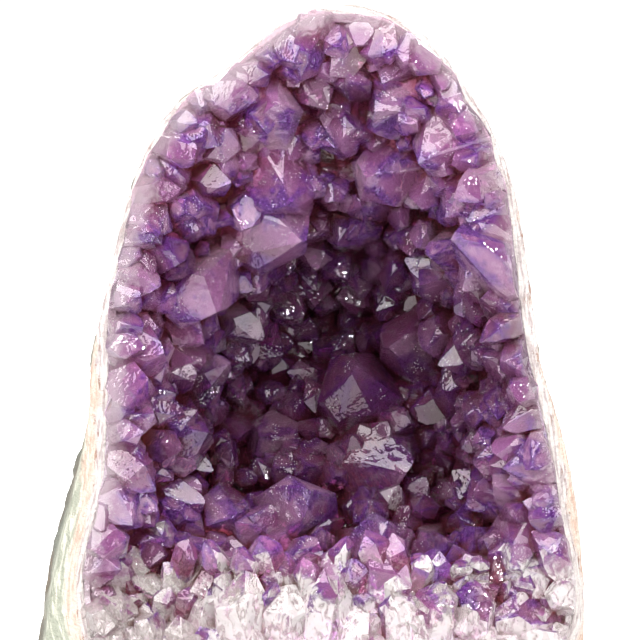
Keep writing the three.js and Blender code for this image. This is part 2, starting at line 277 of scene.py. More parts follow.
def back_point(angle, along):
    """A point of the back: along 0 is the rim's outer edge, and 1 the furthest point behind."""
    edge, _ = rim_edge(angle)
    bend = QUARTER_TURN * along
    off = np.degrees(angle) - BULGE["angle"]
    bulge = BULGE["elsewhere"] + BULGE["out"] * np.exp(-(off**2) / (2 * BULGE["spread"] ** 2))
    full = radius_at(RIM_OUTER, angle) + bulge * math.sin(min(3 * bend, QUARTER_TURN))
    radius = full * math.cos(bend) ** BACK_BLUNTNESS
    x = radius * np.cos(angle)
    z = CENTRE_Z + (BACK_Z - CENTRE_Z) * (1 - math.cos(bend)) + radius * np.sin(angle)
    y = edge[..., 1] + (BACK_Y - edge[..., 1]) * math.sin(bend)
    outward = np.stack([x, y - 5, z - 60], axis=-1)
    outward /= np.linalg.norm(outward, axis=-1, keepdims=True)
    share = min(1, along / ROUGH_FROM) * (1 - CALM_MIDDLE * along**6)
    return np.stack([x, y, z], axis=-1) + outward * (roughness_at(x, y, z) * share)[..., None]


def smooth_rind():
    angles = ring_angles(ROUND_STEPS)
    edge, band = rim_edge(angles)
    rings, layer, outside = [], [], []
    for i in range(HOLLOW_RINGS):
        share = math.sin(QUARTER_TURN * (i + 1) / HOLLOW_RINGS)
        rings.append(hollow_point(angles, share))
        layer.append(0 * band - WALL_LAYER * (1 - share))
        outside.append(0 * band)
    inner = rings[-1]
    for i in range(1, RIM_RINGS):
        rings.append(inner + (edge - inner) * i / RIM_RINGS)
        layer.append(band * i / RIM_RINGS)
        outside.append(0 * band)
    for i in range(BACK_RINGS):
        along = 1 - (1 - i / BACK_RINGS) ** BACK_CROWDING
        rings.append(back_point(angles, along))
        layer.append(band + BACK_LAYER * along)
        outside.append(0 * band + min(1, SKIN_RISE * along))
    mesh = skin_mesh("rind_smooth", hollow_point(0.0, 0.0), rings, back_point(np.zeros(1), 1.0))
    written = (("layer", -WALL_LAYER, layer, BACK_LAYER), ("outside", 0, outside, 1))
    for name, first, rows, last in written:
        write_attribute(mesh, name, "FLOAT", "POINT", np.concatenate([[first], *rows, [last]]))
    return mesh


def saw_base(mesh):
    """Cuts a mesh flat at z = 0 and closes the cut."""
    builder = bmesh.new()
    builder.from_mesh(mesh)
    everything = builder.verts[:] + builder.edges[:] + builder.faces[:]
    base = {"plane_co": (0, 0, 0), "plane_no": (0, 0, 1)}
    bmesh.ops.bisect_plane(builder, geom=everything, **base, clear_inner=True)
    open_edges = [e for e in builder.edges if e.is_boundary]
    bmesh.ops.contextual_create(builder, geom=open_edges)
    bmesh.ops.recalc_face_normals(builder, faces=builder.faces)
    builder.to_mesh(mesh)
    open_left = sum(not e.is_manifold for e in builder.edges)
    builder.free()
    print("rind:", len(mesh.polygons), "faces,", open_left, "open edges")
    return mesh


rind_base = shown(saw_base(smooth_rind()))

# %% [markdown]
# ## Geometry Nodes, in a few helpers
#
# A tree is a list of nodes and links, and a modifier's inputs are set by each socket's identifier. These
# helpers keep that wiring short, and the last one turns the result into a plain mesh.

# %% Node helpers
SOCKET_KINDS = {float: "Float", int: "Int", tuple: "Vector"}


def new_tree(name, kind, inputs, outputs):
    """A node tree with named inputs and outputs. An input is given by its default value or by its kind."""
    tree = bpy.data.node_groups.new(name, kind)
    for label, given in inputs.items():
        socket_kind = SOCKET_KINDS.get(type(given), given)
        socket = tree.interface.new_socket(label, in_out="INPUT", socket_type=f"NodeSocket{socket_kind}")
        if socket_kind != given:
            socket.default_value = given
    for label, socket_kind in outputs.items():
        tree.interface.new_socket(label, in_out="OUTPUT", socket_type=f"NodeSocket{socket_kind}")
    return tree, tree.nodes.new("NodeGroupInput"), tree.nodes.new("NodeGroupOutput")


def node(tree, kind, inputs=None, **settings):
    """Adds a node. Its inputs are set by name or number, to a value or to another node's socket."""
    made = tree.nodes.new(kind)
    for name, value in settings.items():
        setattr(made, name, value)
    for key, value in (inputs or {}).items():
        if isinstance(value, bpy.types.NodeSocket):
            tree.links.new(value, made.inputs[key])
        else:
            made.inputs[key].default_value = value
    return made


def tree_of(*values):
    """The tree of the first socket among some values."""
    return next(value.id_data for value in values if isinstance(value, bpy.types.NodeSocket))


def math_node(operation, *values):
    tree = tree_of(*values)
    return node(tree, "ShaderNodeMath", dict(enumerate(values)), operation=operation).outputs[0]


def product(first, *others):
    for other in others:
        first = math_node("MULTIPLY", first, other)
    return first


def vector_node(operation, *values, scale=None):
    inputs = dict(enumerate(values))
    if scale is not None:
        inputs["Scale"] = scale
    tree = tree_of(*inputs.values())
    return node(tree, "ShaderNodeVectorMath", inputs, operation=operation).outputs[0]


def step_between(value, low, high):
    """0 below low, 1 above high, and a smooth rise between."""
    inputs = {"Value": value, "From Min": low, "From Max": high}
    kind = {"interpolation_type": "SMOOTHSTEP"}
    return node(tree_of(value), "ShaderNodeMapRange", inputs, **kind).outputs["Result"]


def height_in(tree, place):
    return node(tree, "ShaderNodeSeparateXYZ", {0: place}).outputs["Z"]


def named_number(tree, name, kind="FLOAT"):
    """A number that is written on the mesh, for Geometry Nodes."""
    return node(tree, "GeometryNodeInputNamedAttribute", {"Name": name}, data_type=kind).outputs[0]


def end_tree(tree, shape, material, result):
    """Ends a tree with real geometry that wears its material."""
    real = node(tree, "GeometryNodeRealizeInstances", {0: shape})
    coated = node(tree, "GeometryNodeSetMaterial", {0: real.outputs[0], "Material": material})
    tree.links.new(coated.outputs[0], result.inputs[0])


def set_input(modifier, tree, label, value):
    item = next(i for i in tree.interface.items_tree if i.name == label and i.in_out == "INPUT")
    modifier[item.identifier] = value


def run_tree(base, tree, values):
    """Runs a tree on an object, and gives the result as a plain mesh."""
    modifier = base.modifiers.new(tree.name, "NODES")
    modifier.node_group = tree
    for label, value in values.items():
        set_input(modifier, tree, label, value)
    ready = base.evaluated_get(bpy.context.evaluated_depsgraph_get())
    mesh = bpy.data.meshes.new_from_object(ready)
    base.modifiers.remove(modifier)
    return mesh


# %% [markdown]
# ## Materials: noise that several of them share
#
# Rock, agate and quartz all have the same three things: clouds of colour, a fine grain, and small flaws.
# A shader node group makes them once, and each material places it with its own sizes.

# %% Shared shader groups
def cloud_group():
    """Clouds of two sizes, and fine specks, from the place on the stone."""
    tree, given, result = new_tree(
        "stone clouds", "ShaderNodeTree", {"Cloud Size": 8.0, "Grain Size": 1.0, "Warp": 0.6},
        {name: "Float" for name in ("Cloud", "Grain", "Specks", "Lumps", "Cells")},
    )
    place = node(tree, "ShaderNodeTexCoord").outputs["Object"]
    coarse, small = (
        {"Vector": place, "Scale": math_node("DIVIDE", 1 / MM, given.outputs[size])}
        for size in ("Cloud Size", "Grain Size")
    )
    warped = {"Detail": 3, "Distortion": given.outputs["Warp"]}
    specks = node(tree, "ShaderNodeTexVoronoi", small, feature="F1")
    lumps = node(tree, "ShaderNodeTexVoronoi", coarse, feature="F1")
    made = {
        "Cloud": node(tree, "ShaderNodeTexNoise", {**coarse, **warped}).outputs["Fac"],
        "Grain": node(tree, "ShaderNodeTexNoise", {**small, "Detail": 2, "Roughness": 0.65}).outputs["Fac"],
        "Specks": step_between(specks.outputs["Distance"], 0.32, 0.12),
        "Lumps": lumps.outputs["Distance"],
        "Cells": node(tree, "ShaderNodeSeparateColor", {0: lumps.outputs["Color"]}).outputs[0],
    }
    for name, value in made.items():
        tree.links.new(value, result.inputs[name])
    return tree


STONE_CLOUDS = cloud_group()


def new_material(name):
    material = bpy.data.materials.new(name)
    material.use_nodes = True
    return material, material.node_tree, material.node_tree.nodes["Principled BSDF"]


def clouds(tree, cloud_size, grain_size, warp=0.6):
    inputs = {"Cloud Size": cloud_size, "Grain Size": grain_size, "Warp": warp}
    placed = tree.nodes.new("ShaderNodeGroup")
    placed.node_tree = STONE_CLOUDS
    for label, value in inputs.items():
        placed.inputs[label].default_value = value
    return placed.outputs


def mixed(share, first, second):
    """A mix of two colours, each a tuple or a socket."""
    tree = tree_of(share, first, second)
    made = node(tree, "ShaderNodeMix", {"Factor": share}, data_type="RGBA")
    for socket, value in ((made.inputs["A"], first), (made.inputs["B"], second)):
        picked = next(s for s in made.inputs if s.name == socket.name and s.type == "RGBA")
        if isinstance(value, bpy.types.NodeSocket):
            tree.links.new(value, picked)
        else:
            picked.default_value = (*value, 1)
    return next(s for s in made.outputs if s.type == "RGBA")


def ramp(value, stops):
    """A colour for each place on a scale from 0 to 1."""
    made = node(tree_of(value), "ShaderNodeValToRGB", {"Fac": value})
    elements = made.color_ramp.elements
    while len(elements) < len(stops):
        elements.new(0.5)
    for element, (place, colour) in zip(elements, stops):
        element.position = place
        element.color = (*colour, 1)
    return made.outputs["Color"]


def add_bump(tree, shader, height, size):
    bump = node(tree, "ShaderNodeBump", {"Height": height, **size})
    tree.links.new(bump.outputs["Normal"], shader.inputs["Normal"])


def place_on(tree):
    return node(tree, "ShaderNodeTexCoord").outputs["Object"]


def attribute(tree, name):
    return node(tree, "ShaderNodeAttribute", attribute_name=name).outputs["Fac"]


# %% [markdown]
# ## The rind's material
#
# Seen from the crystals outwards the sawn rim shows white quartz, a broken brown line, pinkish beige
# agate and then the grey-green rock. The written layer number is the ruler for these bands, bent by the
# clouds so that no band is a perfect stripe, and fine streaks run along them. The weathered outside is
# darker and blotched.

# %% Rind material
WHITE_QUARTZ = (0.49, 0.445, 0.425)
GREY_QUARTZ = (0.32, 0.27, 0.265)
PINK_AGATE = (0.42, 0.29, 0.23)
PALE_AGATE = (0.48, 0.41, 0.35)
BROWN_LINE = (0.20, 0.09, 0.05)
GREEN_ROCK = (0.25, 0.26, 0.205)
SKIN_GREEN = (0.125, 0.131, 0.104)
PALE_ROCK = (0.46, 0.455, 0.38)
DARK_ROCK = (0.075, 0.072, 0.060)
BROWN_ROCK = (0.15, 0.124, 0.094)
RUST = (0.19, 0.115, 0.064)
HOLLOW_STAIN = (0.20, 0.055, 0.035)
BAND_STRETCH = 0.22
BAND_FINENESS = 1.5
STONE_RELIEF = {"Distance": 1.1 * MM, "Strength": 0.9}


def band_streaks(tree, layer):
    """Noise drawn out along the rim: it changes slowly from place to place, and fast from layer to layer."""
    slow = vector_node("SCALE", place_on(tree), scale=BAND_STRETCH / MM)
    fast = node(tree, "ShaderNodeCombineXYZ", {"X": product(layer, BAND_FINENESS)}).outputs[0]
    streaks = {"Vector": vector_node("ADD", slow, fast), "Scale": 1.0, "Detail": 3}
    return node(tree, "ShaderNodeTexNoise", streaks).outputs["Fac"]


def weathered_colour(tree, stone, fine):
    """Grey-green and brown rock with a faint bloom of rust, dark in its pores, and a few pale grains."""
    broad = clouds(tree, cloud_size=22, grain_size=4)
    skin = mixed(step_between(broad["Cloud"], 0.38, 0.62), SKIN_GREEN, BROWN_ROCK)
    rusty = product(step_between(stone["Cloud"], 0.48, 0.72), 0.55)
    skin = mixed(rusty, skin, RUST)
    pores = product(step_between(stone["Grain"], 0.5, 0.34), 0.7)
    pores = math_node("MAXIMUM", pores, step_between(broad["Grain"], 0.42, 0.3))
    skin = mixed(pores, skin, DARK_ROCK)
    grains = product(fine["Specks"], step_between(broad["Grain"], 0.45, 0.6))
    return mixed(product(grains, 0.6), skin, PALE_ROCK)


def rind_material():
    material, tree, shader = new_material("rind_stone")
    stone = clouds(tree, cloud_size=9, grain_size=1.1)
    fine = clouds(tree, cloud_size=3, grain_size=0.5, warp=2)
    layer = attribute(tree, "layer")
    outside = attribute(tree, "outside")
    streaks = band_streaks(tree, layer)
    depth = math_node("ADD", layer, math_node("MULTIPLY_ADD", stone["Cloud"], 4.0, -2.0))
    quartz = mixed(step_between(streaks, 0.44, 0.6), WHITE_QUARTZ, GREY_QUARTZ)
    agate = mixed(step_between(streaks, 0.4, 0.56), PINK_AGATE, PALE_AGATE)
    rock = mixed(step_between(streaks, 0.42, 0.62), GREEN_ROCK, PALE_ROCK)
    sawn = mixed(step_between(depth, 1.8, 3.2), quartz, agate)
    sawn = mixed(step_between(depth, 4.4, 6.2), sawn, rock)
    near_line = step_between(math_node("ABSOLUTE", math_node("SUBTRACT", depth, 2.3)), 1.6, 0.1)
    lined = product(near_line, step_between(streaks, 0.54, 0.62), step_between(fine["Cloud"], 0.5, 0.58))
    dotted = product(fine["Specks"], step_between(stone["Cloud"], 0.52, 0.6))
    marked = math_node("MAXIMUM", lined, product(dotted, 0.6))
    sawn = mixed(product(marked, 0.8), sawn, BROWN_LINE)
    colour = mixed(outside, sawn, weathered_colour(tree, stone, fine))
    above_lip = step_between(height_in(tree, place_on(tree)), 26 * MM, 40 * MM)
    stained = product(step_between(layer, -1.0, -4.0), 0.9, above_lip)
    colour = mixed(stained, colour, HOLLOW_STAIN)
    tree.links.new(colour, shader.inputs["Base Color"])
    rough = math_node("MULTIPLY_ADD", stone["Grain"], 0.3, 0.55)
    tree.links.new(rough, shader.inputs["Roughness"])
    relief = math_node("ADD", stone["Grain"], product(fine["Cloud"], 0.5))
    add_bump(tree, shader, relief, STONE_RELIEF)
    return material


RIND_STONE = rind_material()

# %% [markdown]
# ## Weathering the rind
#
# The outside of a geode is lumpy rock with pits where softer grains fell out. A displacement that follows
# a rule is what Geometry Nodes are for: every point moves along its normal by noise of three sizes. The
# written "outside" number keeps the sawn rim and the wall of the hollow as they are, and the base stays
# flat.

# %% Rind, weathered
def weathering_tree():
    tree, given, result = new_tree(
        "weathered stone", "GeometryNodeTree",
        {
            "Geometry": "Geometry", "Knob Height": 1.5 * MM, "Knob Size": 7.0 * MM, "Grain Height": 0.6 * MM,
            "Grain Size": 1.8 * MM, "Pit Depth": 1.6 * MM, "Pit Spacing": 9.0 * MM, "Chip Depth": 0.5 * MM,
            "Material": "Material",
        },
        {"Geometry": "Geometry"},
    )
    outside = named_number(tree, "outside")

    def noise(size, detail):
        scale = math_node("DIVIDE", 1.0, given.outputs[size])
        fac = node(tree, "ShaderNodeTexNoise", {"Scale": scale, "Detail": detail}).outputs["Fac"]
        return math_node("MULTIPLY_ADD", fac, 2.0, -1.0)

    knobs = product(noise("Knob Size", 3), given.outputs["Knob Height"])
    grain = product(noise("Grain Size", 3), given.outputs["Grain Height"])
    pit_scale = math_node("DIVIDE", 1.0, given.outputs["Pit Spacing"])
    cells = node(tree, "ShaderNodeTexVoronoi", {"Scale": pit_scale, "Randomness": 1.0}).outputs["Distance"]
    pits = product(step_between(cells, 0.3, 0.08), given.outputs["Pit Depth"])
    rise = math_node("SUBTRACT", math_node("ADD", knobs, grain), pits)
    rise = product(rise, outside)
    chips = product(noise("Grain Size", 2), given.outputs["Chip Depth"])
    on_rim = step_between(named_number(tree, "layer"), 0.3, 1.5)
    on_rim = product(on_rim, math_node("SUBTRACT", 1.0, outside))
    rise = math_node("ADD", rise, product(chips, on_rim))
    height = height_in(tree, node(tree, "GeometryNodeInputPosition").outputs[0])
    rise = product(rise, step_between(height, 0.2 * MM, 4 * MM))
    offset = vector_node("SCALE", node(tree, "GeometryNodeInputNormal").outputs[0], scale=rise)
    moving = {"Geometry": given.outputs["Geometry"], "Offset": offset}
    moved = node(tree, "GeometryNodeSetPosition", moving)
    end_tree(tree, moved.outputs[0], given.outputs["Material"], result)
    return tree


rind_mesh = run_tree(rind_base, weathering_tree(), {"Material": RIND_STONE})
bpy.data.objects.remove(rind_base)
rind_mesh.name = "weathered_rind"
rind_mesh.shade_smooth()
rind = shown(rind_mesh)
print("weathered rind:", len(rind_mesh.polygons), "faces")

# %% [markdown]
# ## Where the crystals stand
#
# The larger crystals have listed places, as seen from the front. Others stand round the rim and in
# the room that is left, and the lower lip has three crowded rows. All of this repeats the rule of the
# solids, so that every crystal here is the finer twin of one there.

# %% Crystal places
BED_THICKNESS = 1.6
BED_ABOVE_RIM = 0.6
SEEN_GAP = 0.08
ROOT_DEPTH = 6
TIP_SLOPE = 1.27
TIP_SHIFT = 0.7
SQUASH = 0.14
ASTRAY = 0.95
PROUD_OF_RIM = 3.5
LARGE_SLIMNESS = (0.8, 1.1)
LARGE_LEAN = 0.35
SEEN_AT = 0.6
LAST_ROOT = 0.985
LAST_SLOPE = 0.96
SLOPE_STEP = 0.012
EDGE_CRYSTALS = {
    "count": 46, "from": -28, "to": 208, "share": 0.965, "width": (6, 9.5), "slimness": (0.75, 1.1),
    "lean": 1.6, "crowding": 0.26,
}
FILL_CRYSTALS = {
    "count": 62, "tries": 2400, "angle_step": 0.7548776662, "share_step": 0.569840291, "share": 0.93,
    "width": (7, 11), "slimness": (0.75, 1.1), "lean": 0.35, "crowding": 0.46,
}
LARGE_CRYSTALS = [
    (4.8, 144, 13), (12.8, 143, 10), (20.6, 139, 12), (-3, 136, 9), (7.4, 134, 8),
    (16.8, 130, 12), (29.4, 122.6, 16), (-10.5, 128, 16.5), (-24.5, 122.5, 10.5), (-17, 116.5, 9),
    (4.4, 123.7, 12), (14.7, 116.6, 15.5), (-7.1, 112.4, 16), (-25.6, 106.9, 11.5), (-8.4, 101.6, 17),
    (12.6, 106, 12), (27.9, 108.4, 9.5), (33.8, 97.4, 17), (30.5, 114, 8), (38.5, 111, 8.5),
    (6.9, 100.2, 10), (-20.4, 88, 19), (-16, 97.2, 8), (-31, 97.7, 10), (-34.4, 105.4, 8.5),
    (5.9, 91.8, 10), (16.8, 91.8, 10), (25.8, 91.8, 10), (21.6, 99.8, 8.5), (41, 77.5, 10),
    (32.8, 78.1, 11), (21.6, 75.4, 15), (-5.3, 75, 8.5), (-25.6, 75.8, 12), (-35, 78.8, 11),
    (-38.5, 68.3, 12), (-27.3, 58.2, 14), (-39.5, 57.1, 10.5), (-38.5, 46, 13.5), (11.1, 66.6, 18),
    (-2.1, 62.4, 11), (-9.2, 55.7, 12), (-0.8, 50.8, 10), (-17.6, 43, 12), (-2.1, 42.5, 16),
    (6.9, 52.9, 7.5), (16.4, 51.5, 16), (26.5, 47.7, 7.5), (22.3, 62.8, 10), (30.7, 65.5, 9),
    (30.7, 56, 9), (40.5, 48.7, 12), (44, 58.8, 10), (48, 63.4, 8), (48, 52.3, 9),
    (42, 38.2, 13.5), (50.5, 43.5, 9), (15.3, 37.5, 13), (-27.3, 33, 13), (-41, 32.5, 10),
    (-26.7, 44.5, 10), (-41, 83.4, 8), (-37.5, 91, 8), (-15.5, 137, 8.5), (-23.5, 131, 8),
    (-29.8, 115.5, 9), (27.5, 133.5, 9), (39.5, 89.7, 9), (33, 88, 9), (5, 112, 9),
]
LIP_ROWS = [
    (9.5, 0.05, [
        (-40, 35, 10), (-31, 33, 9), (-22, 38.5, 13), (-7.8, 39.5, 9.5), (4, 40, 13), (15.7, 42, 12),
        (26, 40, 9), (34.5, 38.5, 10), (44.5, 38, 11),
    ]),
    (4.6, -0.05, [
        (-47.5, 27, 8), (-40.5, 30, 9.5), (-33, 27.5, 8.5), (-26, 25.5, 9), (-15.5, 36, 12),
        (-5.5, 33.5, 10.5), (2.4, 35.5, 9), (9.5, 29.5, 10), (18, 33.5, 9.5), (26, 34.5, 10),
        (34.4, 33, 9), (46.5, 32.5, 14), (54.5, 26.5, 8),
    ]),
    (1.8, -0.2, [
        (-50, 21, 9), (-43, 23.5, 8), (-36, 20, 9.5), (-28.5, 19, 8.5), (-21, 24.5, 9.5), (-10.5, 25.5, 12),
        (-1, 22.5, 9.5), (6.5, 19.5, 9), (14, 23, 10), (22, 21, 8.5), (30, 24, 11), (39.5, 20.5, 10.5),
        (52, 20, 9.5),
    ]),
]
LIP_ROOT_Z = 9
LIP_ASTRAY = 0.34
LIP_FIRST_NUMBER = 300
LIP_NUMBERS_PER_ROW = 30


def scatter(n, k):
    """A repeatable scatter of numbers from 0 to 1 for piece n and use k."""
    value = math.sin(n * 127.1 + k * 311.7) * 43758.5453
    return value - math.floor(value)


def between(limits, share):
    return limits[0] + (limits[1] - limits[0]) * share


def share_of(x, z):
    return math.hypot(x, z - CENTRE_Z) / float(radius_at(RIM_INNER, math.atan2(z - CENTRE_Z, x)))


def wall_behind(x, z):
    return hollow_point(math.atan2(z - CENTRE_Z, x), min(share_of(x, z), LAST_ROOT))


def wall_normal(x, z):
    """The direction out of the wall and into the hollow."""
    angle = math.atan2(z - CENTRE_Z, x)
    share = min(share_of(x, z), LAST_SLOPE)
    turn = 2 * SLOPE_STEP / max(0.4, share)
    along = hollow_point(angle + turn, share) - hollow_point(angle - turn, share)
    outward = hollow_point(angle, share + SLOPE_STEP) - hollow_point(angle, max(0, share - SLOPE_STEP))
    normal = np.cross(along, outward)
    normal /= np.linalg.norm(normal)
    return -normal if normal[1] > 0 else normal


def crystal_at(root, direction, width, length, number):
    return {"root": root, "direction": direction, "width": width, "length": length, "number": number}


def growth_direction(x, z, number, lean):
    astray = np.array([scatter(number, 5) - 0.5, 0, scatter(number, 6) - 0.5])
    direction = wall_normal(x, z) + np.array([0, -lean, 0]) + ASTRAY * astray
    return direction / np.linalg.norm(direction)


def large_crystals():
    placed = []
    for number, (x, z, width) in enumerate(LARGE_CRYSTALS):
        direction = growth_direction(x, z, number, LARGE_LEAN)
        length = width * between(LARGE_SLIMNESS, scatter(number, 7)) + BED_THICKNESS
        root = wall_behind(x - SEEN_AT * length * direction[0], z - SEEN_AT * length * direction[2])
        placed.append(crystal_at(root, direction, width, length, number))
    return placed


def add_small_crystal(placed, angle, share, kind, chance):
    """Adds a small crystal at an angle and a share of the way to the rim, if there is room for it."""
    root = hollow_point(angle, share)
    width = between(kind["width"], chance)
    for other in placed:
        if np.linalg.norm(other["root"] - root) <= kind["crowding"] * (other["width"] + width):
            return
    number = len(placed)
    direction = growth_direction(root[0], root[2], number, kind["lean"])
    length = width * between(kind["slimness"], scatter(number, 9)) + BED_THICKNESS
    placed.append(crystal_at(root, direction, width, length, number))


def wall_crystals():
    placed = large_crystals()
    for i in range(EDGE_CRYSTALS["count"]):
        turn = between((EDGE_CRYSTALS["from"], EDGE_CRYSTALS["to"]), i / (EDGE_CRYSTALS["count"] - 1))
        add_small_crystal(placed, math.radians(turn), EDGE_CRYSTALS["share"], EDGE_CRYSTALS, scatter(i, 11))
    enough = len(placed) + FILL_CRYSTALS["count"]
    for n in range(1, FILL_CRYSTALS["tries"] + 1):
        if len(placed) == enough:
            break
        angle = 2 * math.pi * ((n * FILL_CRYSTALS["angle_step"]) % 1)
        reach = QUARTER_TURN * FILL_CRYSTALS["share"] * math.sqrt((n * FILL_CRYSTALS["share_step"]) % 1)
        add_small_crystal(placed, angle, math.sin(reach), FILL_CRYSTALS, scatter(n, 8))
    return placed


def lip_crystals():
    placed = []
    for row, (behind_rim, lean, columns) in enumerate(LIP_ROWS):
        for i, (x, tip_z, width) in enumerate(columns):
            number = LIP_FIRST_NUMBER + LIP_NUMBERS_PER_ROW * row + i
            length = tip_z - LIP_ROOT_Z
            sideways = LIP_ASTRAY * (scatter(number, 5) - 0.5)
            forwards = lean + LIP_ASTRAY * (scatter(number, 6) - 0.5)
            y = rim_y(x, (LIP_ROOT_Z + tip_z) / 2) + behind_rim - forwards * length / 2
            root = np.array([x - sideways * length, y, LIP_ROOT_Z])
            direction = np.array([sideways, forwards, 1])
            direction /= np.linalg.norm(direction)
            placed.append(crystal_at(root, direction, width, length, number))
    return placed


def held_back(crystal):
    """Moves a crystal back until its tip stands no further out than it may."""
    tip = crystal["root"] + crystal["direction"] * crystal["length"]
    crystal["root"][1] += max(0, rim_y(tip[0], tip[2]) - PROUD_OF_RIM - tip[1])
    return crystal


crystals = [held_back(c) for c in wall_crystals() + lip_crystals()]
print("crystals of the solid:", len(crystals))

# %% [markdown]
# ## One quartz crystal
#
# A quartz crystal is what is left inside twelve planes: six for the column and six for the tip. Three of
# the tip's faces are usually larger than the three between them, and raising those three planes a little
# gives just that. More planes wear its edges down and knock chips off it, which is what makes a crystal
# look found and not drawn. So the helper works with planes: it finds the corners where three of them
# meet, and joins the corners of each plane into a flat face. Every crystal has a tone of its own, from
# dark to pale. It comes from the repeatable scatter, except for the large crystals whose tone was read
# from the picture.

# %% Crystal builder
FACE_LIFT = (0.02, 0.13)
EDGE_WEAR = (0.004, 0.016)
CHIP_DEPTH = (0.03, 0.13)
BREAK_SLANT = (15, 50)
BREAK_DEPTH = (0.08, 0.34)
MAIN_PLANES = 13
TONE_SPREAD = 0.85
FACE_TONE = 0.85
CHIP_TILT = (0.3, 0.7)
OWN_TONES = {
    3: 0.9, 4: 0.85, 6: 0.95, 7: 0.7, 11: 0.95, 12: 0.6, 14: 0.5, 15: 0.9, 17: 0.85, 20: 0.7, 21: 0.55,
    27: 0.3, 28: 0.3, 29: 0.25, 30: 0.3, 31: 0.5, 33: 0.3, 36: 0.5, 38: 0.7, 39: 0.2, 43: 0.6, 44: 0.55,
    45: 0.8, 46: 0.8, 47: 0.9, 48: 0.8, 49: 0.3, 50: 0.3, 51: 0.6, 55: 0.7, 57: 0.9, 60: 0.3, 62: 0.6,
    67: 0.3, 70: 0.8,
}
OWN_TURNS = {
    6: -30, 11: -12, 12: 15, 14: 18, 17: 12, 29: -6, 30: 12, 31: -18, 33: -18, 36: -18, 43: 9, 53: -24,
    67: -24, 68: -18, 72: 18,
}
TOLERANCE = 1e-6
SAME_CORNER = 2e-3
NEARLY_PARALLEL = 1e-4


def unit(vector):
    return vector / np.linalg.norm(vector)


def crystal_planes(width, length, depth, number):
    """The sides, the ends and the foot of a crystal that stands on the origin, as (normal, distance)."""
    corner = width / math.sqrt(3)
    tip_x = (scatter(number, 1) - 0.5) * TIP_SHIFT * corner
    tip_y = (scatter(number, 2) - 0.5) * TIP_SHIFT * corner
    stretch = 1 + SQUASH * (2 * scatter(number, 3) - 1)
    shoulders = []
    for k in range(6):
        x = corner * math.cos(math.pi / 3 * k) * stretch
        y = corner * math.sin(math.pi / 3 * k) / stretch
        drop = TIP_SLOPE * math.cos(math.pi / 6) * math.hypot(x - tip_x, y - tip_y)
        shoulders.append(np.array([x, y, max(length - drop, 1 - depth)]))
    tip = np.array([tip_x, tip_y, length])
    sides, ends = [], []
    for k in range(6):
        here, beyond = shoulders[k], shoulders[(k + 1) % 6]
        side = unit(np.cross(beyond - here, np.array([0.0, 0, 1])))
        end = unit(np.cross(here - tip, beyond - tip))
        lift = width * between(FACE_LIFT, scatter(number, 20 + k)) if k % 2 else 0
        sides.append((side, side @ here))
        ends.append((end, end @ tip + lift))
    return sides, ends, (np.array([0.0, 0, -1]), depth)


def worn_edges(sides, ends, width, number):
    """A narrow plane across each edge, midway between the faces that meet there."""
    pairs = [(ends[k], ends[(k + 1) % 6]) for k in range(6)]
    pairs += [(sides[k], ends[k]) for k in range(6)]
    pairs += [(sides[k], sides[(k + 1) % 6]) for k in range(6)]
    planes = []
    for i, ((first, reach), (second, other_reach)) in enumerate(pairs):
        size = np.linalg.norm(first + second)
        wear = width * between(EDGE_WEAR, scatter(number, 40 + i))
        planes.append(((first + second) / size, (reach + other_reach) / size - wear))
    return planes


def chips(sides, ends, width, number, count):
    """Planes that knock chips off the edges between the ends."""
    planes = []
    for i in range(count):
        k = int(6 * scatter(number, 60 + i))
        (first, reach), (second, other_reach) = ends[k], ends[(k + 1) % 6] if i % 2 else sides[k]
        share = between(CHIP_TILT, scatter(number, 70 + i))
        mixed_normal = first * share + second * (1 - share)
        size = np.linalg.norm(mixed_normal)
        depth = width * between(CHIP_DEPTH, scatter(number, 80 + i))
        planes.append((mixed_normal / size, (reach * share + other_reach * (1 - share)) / size - depth))
    return planes


def merged_corners(points, meets, nearest):
    """Merges corners that nearly coincide, and keeps for each one the set of planes that meet there."""
    corners, planes_at = [], []
    for point, planes in zip(points, meets):
        away = np.linalg.norm(np.array(corners) - point, axis=1) if corners else np.array([nearest])
        if away.min() < nearest:
            planes_at[int(away.argmin())].update(planes)
        else:
            corners.append(point)
            planes_at.append(set(planes))
    return np.array(corners), planes_at


def solid_inside(planes, nearest):
    """The corners and the flat faces of the solid inside some planes. A face comes with its plane's place."""
    normals = np.array([n for n, _ in planes])
    distances = np.array([d for _, d in planes])
    threes = np.array(list(itertools.combinations(range(len(planes)), 3)))
    threes = threes[abs(np.linalg.det(normals[threes])) > NEARLY_PARALLEL]
    points = np.linalg.solve(normals[threes], distances[threes][..., None])[..., 0]
    inside = (points @ normals.T <= distances + TOLERANCE).all(axis=1)
    corners, planes_at = merged_corners(points[inside], threes[inside], nearest)
    faces = []
    for place, (normal, _) in enumerate(planes):
        on_plane = np.array([c for c, planes_here in enumerate(planes_at) if place in planes_here])
        if len(on_plane) < 3:
            continue
        middle = corners[on_plane].mean(axis=0)
        across = unit(corners[on_plane[0]] - middle)
        up = np.cross(normal, across)
        turn = np.arctan2((corners[on_plane] - middle) @ up, (corners[on_plane] - middle) @ across)
        faces.append((place, [int(c) for c in on_plane[np.argsort(turn)]]))
    return corners, faces


def broken_head(width, length, number):
    """A slanting plane that breaks off the top of a crystal."""
    turn = 2 * math.pi * scatter(number, 91)
    slant = math.radians(between(BREAK_SLANT, scatter(number, 92)))
    normal = np.array([math.cos(turn) * math.sin(slant), math.sin(turn) * math.sin(slant), math.cos(slant)])
    return normal, math.cos(slant) * (length - width * between(BREAK_DEPTH, scatter(number, 93)))


